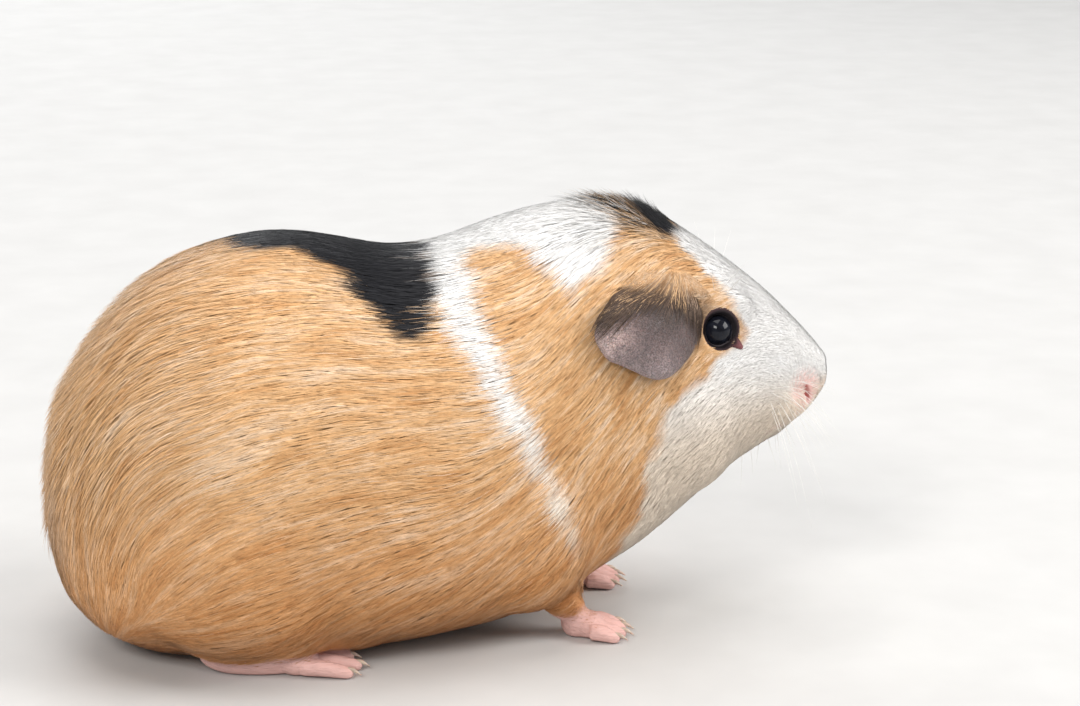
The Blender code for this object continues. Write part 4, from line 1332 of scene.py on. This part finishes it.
def make_claws(look):
    """Horn claws on every toe."""
    for kind, form in (("hind", HIND_FOOT), ("front", FORE_FOOT)):
        for word, side in SIDES:
            parts = []
            for across, reach in form["toes"]:
                way, path = toe_path(form, across, reach)
                start = path[-1] - way * CLAW_START_BACK
                claw = [start + way * out + (0, 0, high) for out, high in zip(CLAW_REACH, CLAW_HEIGHTS)]
                rows = np.column_stack([(0, 0.55, 1), claw, CLAW_RADII])
                fine = curve_through(rows, np.linspace(0, 1, 14))
                points, triangles = tube_parts(fine[:, 1:4], fine[:, 4], 12)
                parts.append((foot_points(form, side, points), triangles))
            points, triangles = joined(parts)
            add_piece(f"claws_{kind}_{word}", above_floor(points), triangles[:, ::side], look, "foot_skin")


def stepped(values, column, row):
    """The first of three sets of values, moved on by the other two."""
    first, on, down = np.array(values)
    return first + column * on + row * down


def whisker_rows(group):
    """Column, place and way out of each whisker in a group."""
    rows, columns, places, ways = group
    for row, column in product(range(rows), range(columns)):
        yield column, stepped(places, column, row), stepped(ways, column, row)


def make_whiskers(surface, look):
    """Whiskers in rows on the lip, and a few over the eye and on the chin."""
    for word, side in SIDES:
        parts = []
        for column, place, way in whisker_rows(LIP_WHISKERS):
            place = place + random.normal(0, 0.0004, 3)
            length = (0.012 + 0.0045 * column) * random.uniform(0.75, 1.1)
            way = way + random.normal(0, 0.09, 3)
            parts.append(whisker(surface, place, way, length, side, droop=0.22))
        for _, place, way in whisker_rows(BROW_WHISKERS):
            way = way + random.normal(0, 0.08, 3)
            parts.append(whisker(surface, place, way, 0.017 * random.uniform(0.8, 1.1), side, droop=0.15))
        for _, place, way in whisker_rows(CHIN_WHISKERS):
            way = way + random.normal(0, 0.14, 3)
            parts.append(whisker(surface, place, way, 0.009 * random.uniform(0.7, 1.3), side, droop=0.05))
        add_piece(f"whiskers_{word}", *joined(parts), look, "coat_white")


def whisker(surface, place, way, length, side, droop):
    """One tapered whisker that leaves the skin and droops."""
    root = surface.nearest(on_side(place, side))[0][0]
    way = rotated(unit(way * (1, side, 1))[None], np.array([HEAD_TURN]))[0]
    t = np.linspace(0, 1, 12)[:, None]
    path = root - way * 0.0006 + way * length * t + np.array((-0.25, 0, -1)) * droop * length * t**2
    path[:, 2] = np.maximum(path[:, 2], 0.001)
    return tube_parts(path, WHISKER_RADIUS * (1 - 0.8 * t[:, 0]), 5)


def shader(name, roughness, **values):
    """A Principled material, and its node tree."""
    made = bpy.data.materials.new(name)
    made.use_nodes = True
    principled = made.node_tree.nodes["Principled BSDF"]
    principled.inputs["Roughness"].default_value = roughness
    for key, value in values.items():
        principled.inputs[key.replace("_", " ")].default_value = value
    return made, made.node_tree, principled


def node(tree, kind, inputs=(), **settings):
    made = tree.nodes.new(kind)
    for key, value in settings.items():
        setattr(made, key, value)
    for key, value in dict(inputs).items():
        made.inputs[key].default_value = value
    return made


def pattern(tree, scale, low=0.0, high=1.0, stretch=(1, 1, 1), spread=0.25):
    """Noise in the object's own coordinates, as values from low to high."""
    where = node(tree, "ShaderNodeTexCoord")
    mapping = node(tree, "ShaderNodeMapping", {"Scale": stretch})
    noise = node(tree, "ShaderNodeTexNoise", {"Scale": scale, "Detail": 3.0, "Roughness": 0.55})
    ends = {"From Min": 0.5 - spread, "From Max": 0.5 + spread, "To Min": low, "To Max": high}
    share = node(tree, "ShaderNodeMapRange", ends)
    tree.links.new(where.outputs["Object"], mapping.inputs["Vector"])
    tree.links.new(mapping.outputs["Vector"], noise.inputs["Vector"])
    tree.links.new(noise.outputs["Fac"], share.inputs["Value"])
    return share.outputs["Result"]


def mottled(name, roughness, share, bump=None, **values):
    """A material in the stored colour times a pattern, with a bump given by its pattern's
    scale, stretch and depth."""
    made, tree, principled = shader(name, roughness, **values)
    stored = node(tree, "ShaderNodeAttribute", attribute_name="coat")
    scale = node(tree, "ShaderNodeVectorMath", operation="SCALE")
    tree.links.new(stored.outputs["Color"], scale.inputs[0])
    tree.links.new(pattern(tree, **share), scale.inputs["Scale"])
    tree.links.new(scale.outputs["Vector"], principled.inputs["Base Color"])
    if bump:
        fineness, stretch, depth = bump
        relief = node(tree, "ShaderNodeBump", {"Distance": depth, "Strength": 1.0})
        tree.links.new(pattern(tree, fineness, stretch=stretch), relief.inputs["Height"])
        tree.links.new(relief.outputs["Normal"], principled.inputs["Normal"])
    return made


def tinted(name, roughness, dark, pale, scale, stretch=(1, 1, 1), **values):
    """A material between two colours by a pattern."""
    made, tree, principled = shader(name, roughness, **values)
    tint = node(tree, "ShaderNodeMixRGB", {1: (*dark, 1), 2: (*pale, 1)})
    tree.links.new(pattern(tree, scale, stretch=stretch), tint.inputs[0])
    tree.links.new(tint.outputs[0], principled.inputs["Base Color"])
    return made


def make_looks():
    """All materials of the animal."""
    streaked = {"scale": 700.0, "low": 0.84, "high": 1.0, "stretch": (0.18, 1, 1)}
    grained = {"scale": 2200.0, "low": 0.60, "high": 1.40, "spread": 0.14}
    horn = {"Specular_IOR_Level": 0.5, "Subsurface_Weight": 0.2, "Subsurface_Scale": 0.001}
    return {
        "hair": mottled(
            "coat_hair", 0.50, {"scale": 1400.0, "low": 0.90, "high": 1.06},
            Specular_IOR_Level=0.28, Sheen_Weight=0.05, Sheen_Roughness=0.4,
        ),
        "skin": mottled(
            "skin_under_coat", 0.62, streaked, (900.0, (0.15, 1, 1), 0.0004), Specular_IOR_Level=0.35
        ),
        "ear": mottled(
            "ear_leather", 0.56, grained, (2200.0, (1, 1, 1), 0.00016),
            Specular_IOR_Level=0.38, Subsurface_Weight=0.12, Subsurface_Scale=0.001, Sheen_Weight=0.06,
        ),
        "lid": mottled(
            "lid_skin", 0.55, {"scale": 1800.0, "low": 0.8, "high": 1.2}, (2400.0, (1, 1, 1), 0.00012),
            Specular_IOR_Level=0.18,
        ),
        "eye": tinted(
            "eye_wet", 0.03, (0.003, 0.003, 0.005), (0.012, 0.014, 0.022), 500.0,
            Specular_IOR_Level=0.28, IOR=1.42,
        ),
        "claw": tinted("claw_horn", 0.34, (0.40, 0.29, 0.22), (0.66, 0.54, 0.44), 900.0, (0.2, 1, 1), **horn),
        "whisker": tinted(
            "whisker_hair", 0.35, (0.78, 0.74, 0.70), (0.95, 0.93, 0.90), 300.0, Specular_IOR_Level=0.5
        ),
    }


def finish_skin(skin, look):
    """The coat's markings and painted shade on the skin, and pink where it is bare."""
    points = coordinates(skin.data)
    colour = coat_colour(points, np.full(len(points), 0.5))
    rose = by_line(points, NOSTRIL, 0.0020, 0.0080)
    rose = np.maximum(rose, by_line(points, CLEFT, 0.0010, 0.0040))
    rose = np.maximum(rose, by_line(points, LIP_LINE, 0.0008, 0.0030) * 0.8)
    rose = np.maximum(rose, foot_cover(points, 0.0060, 0.0090) * (1 - ramp(points[:, 2], 0.006, 0.012)))
    colour = colour + rose[:, None] * (PINK - colour)
    deep = by_line(points, NOSTRIL, 0.0004, 0.0015)
    deep = np.maximum(deep, by_line(points, LIP_LINE, 0.0001, 0.0008) * 0.6)
    colour = colour + deep[:, None] * (RED - colour)
    by_eye = feature(points, LID_MIDDLE, 0.0053, 0.0062)
    colour = colour + by_eye[:, None] * (EYE_RIM - colour)
    paint(skin.data, colour)
    skin.data.materials.clear()
    dress(skin, look, "coat_orange", *FLESH_NODES, *FOOT_NODES)


def make_stage():
    """Pale floor, soft light from above and beside the camera."""
    bpy.ops.mesh.primitive_plane_add(size=12.0, location=(0, 0, 0))
    floor = bpy.context.object
    floor.name = "floor"
    tones = (0.55, 0.545, 0.535), (0.59, 0.585, 0.575)
    floor.data.materials.append(tinted("floor_paper", 0.85, *tones, 30.0, Specular_IOR_Level=0.2))
    world = bpy.data.worlds.new("world")
    bpy.context.scene.world = world
    world.use_nodes = True
    background = world.node_tree.nodes["Background"]
    background.inputs["Color"].default_value = (0.95, 0.97, 1.0, 1)
    background.inputs["Strength"].default_value = 0.38
    for name, place, size, power, tint in LAMPS:
        data = bpy.data.lights.new(name, "AREA")
        data.size = size
        data.energy = power
        data.color = tint
        lamp = add_object(name, data)
        lamp.location = place
        lamp.rotation_euler = (Vector(place) - LAMP_AIM).to_track_quat("Z", "Y").to_euler()


def make_camera():
    data = bpy.data.cameras.new("camera")
    data.lens = CAMERA_LENS
    data.sensor_fit = "HORIZONTAL"
    data.sensor_width = 36.0
    data.clip_start = 0.01
    camera = add_object("camera", data)
    level, up = math.cos(CAMERA_ELEVATION), math.sin(CAMERA_ELEVATION)
    away = Vector((math.sin(CAMERA_AZIMUTH) * level, -math.cos(CAMERA_AZIMUTH) * level, up))
    camera.location = Vector(CAMERA_AIM) + Vector(SHIFT) + away * CAMERA_DISTANCE
    camera.rotation_euler = away.to_track_quat("Z", "Y").to_euler()
    bpy.context.scene.camera = camera


SHIFT = find_shift()
looks = make_looks()
make_camera()
make_stage()
skin = make_skin()
finish_skin(skin, looks["skin"])
surface = Surface(skin)
for word, side in SIDES:
    make_eye(word, side, looks["eye"])
    make_lids(word, side, surface, looks["lid"])
    make_ear(word, side, looks["ear"])
    make_ear_edge(word, side, looks["hair"])
    make_ear_down(word, side, looks["hair"])
    make_mane(word, side, surface, looks["hair"])
make_claws(looks["claw"])
make_whiskers(surface, looks["whisker"])
make_coat(surface, looks["hair"])
make_guard_hair(surface, looks["hair"])
bpy.context.scene.view_settings.view_transform = "Standard"
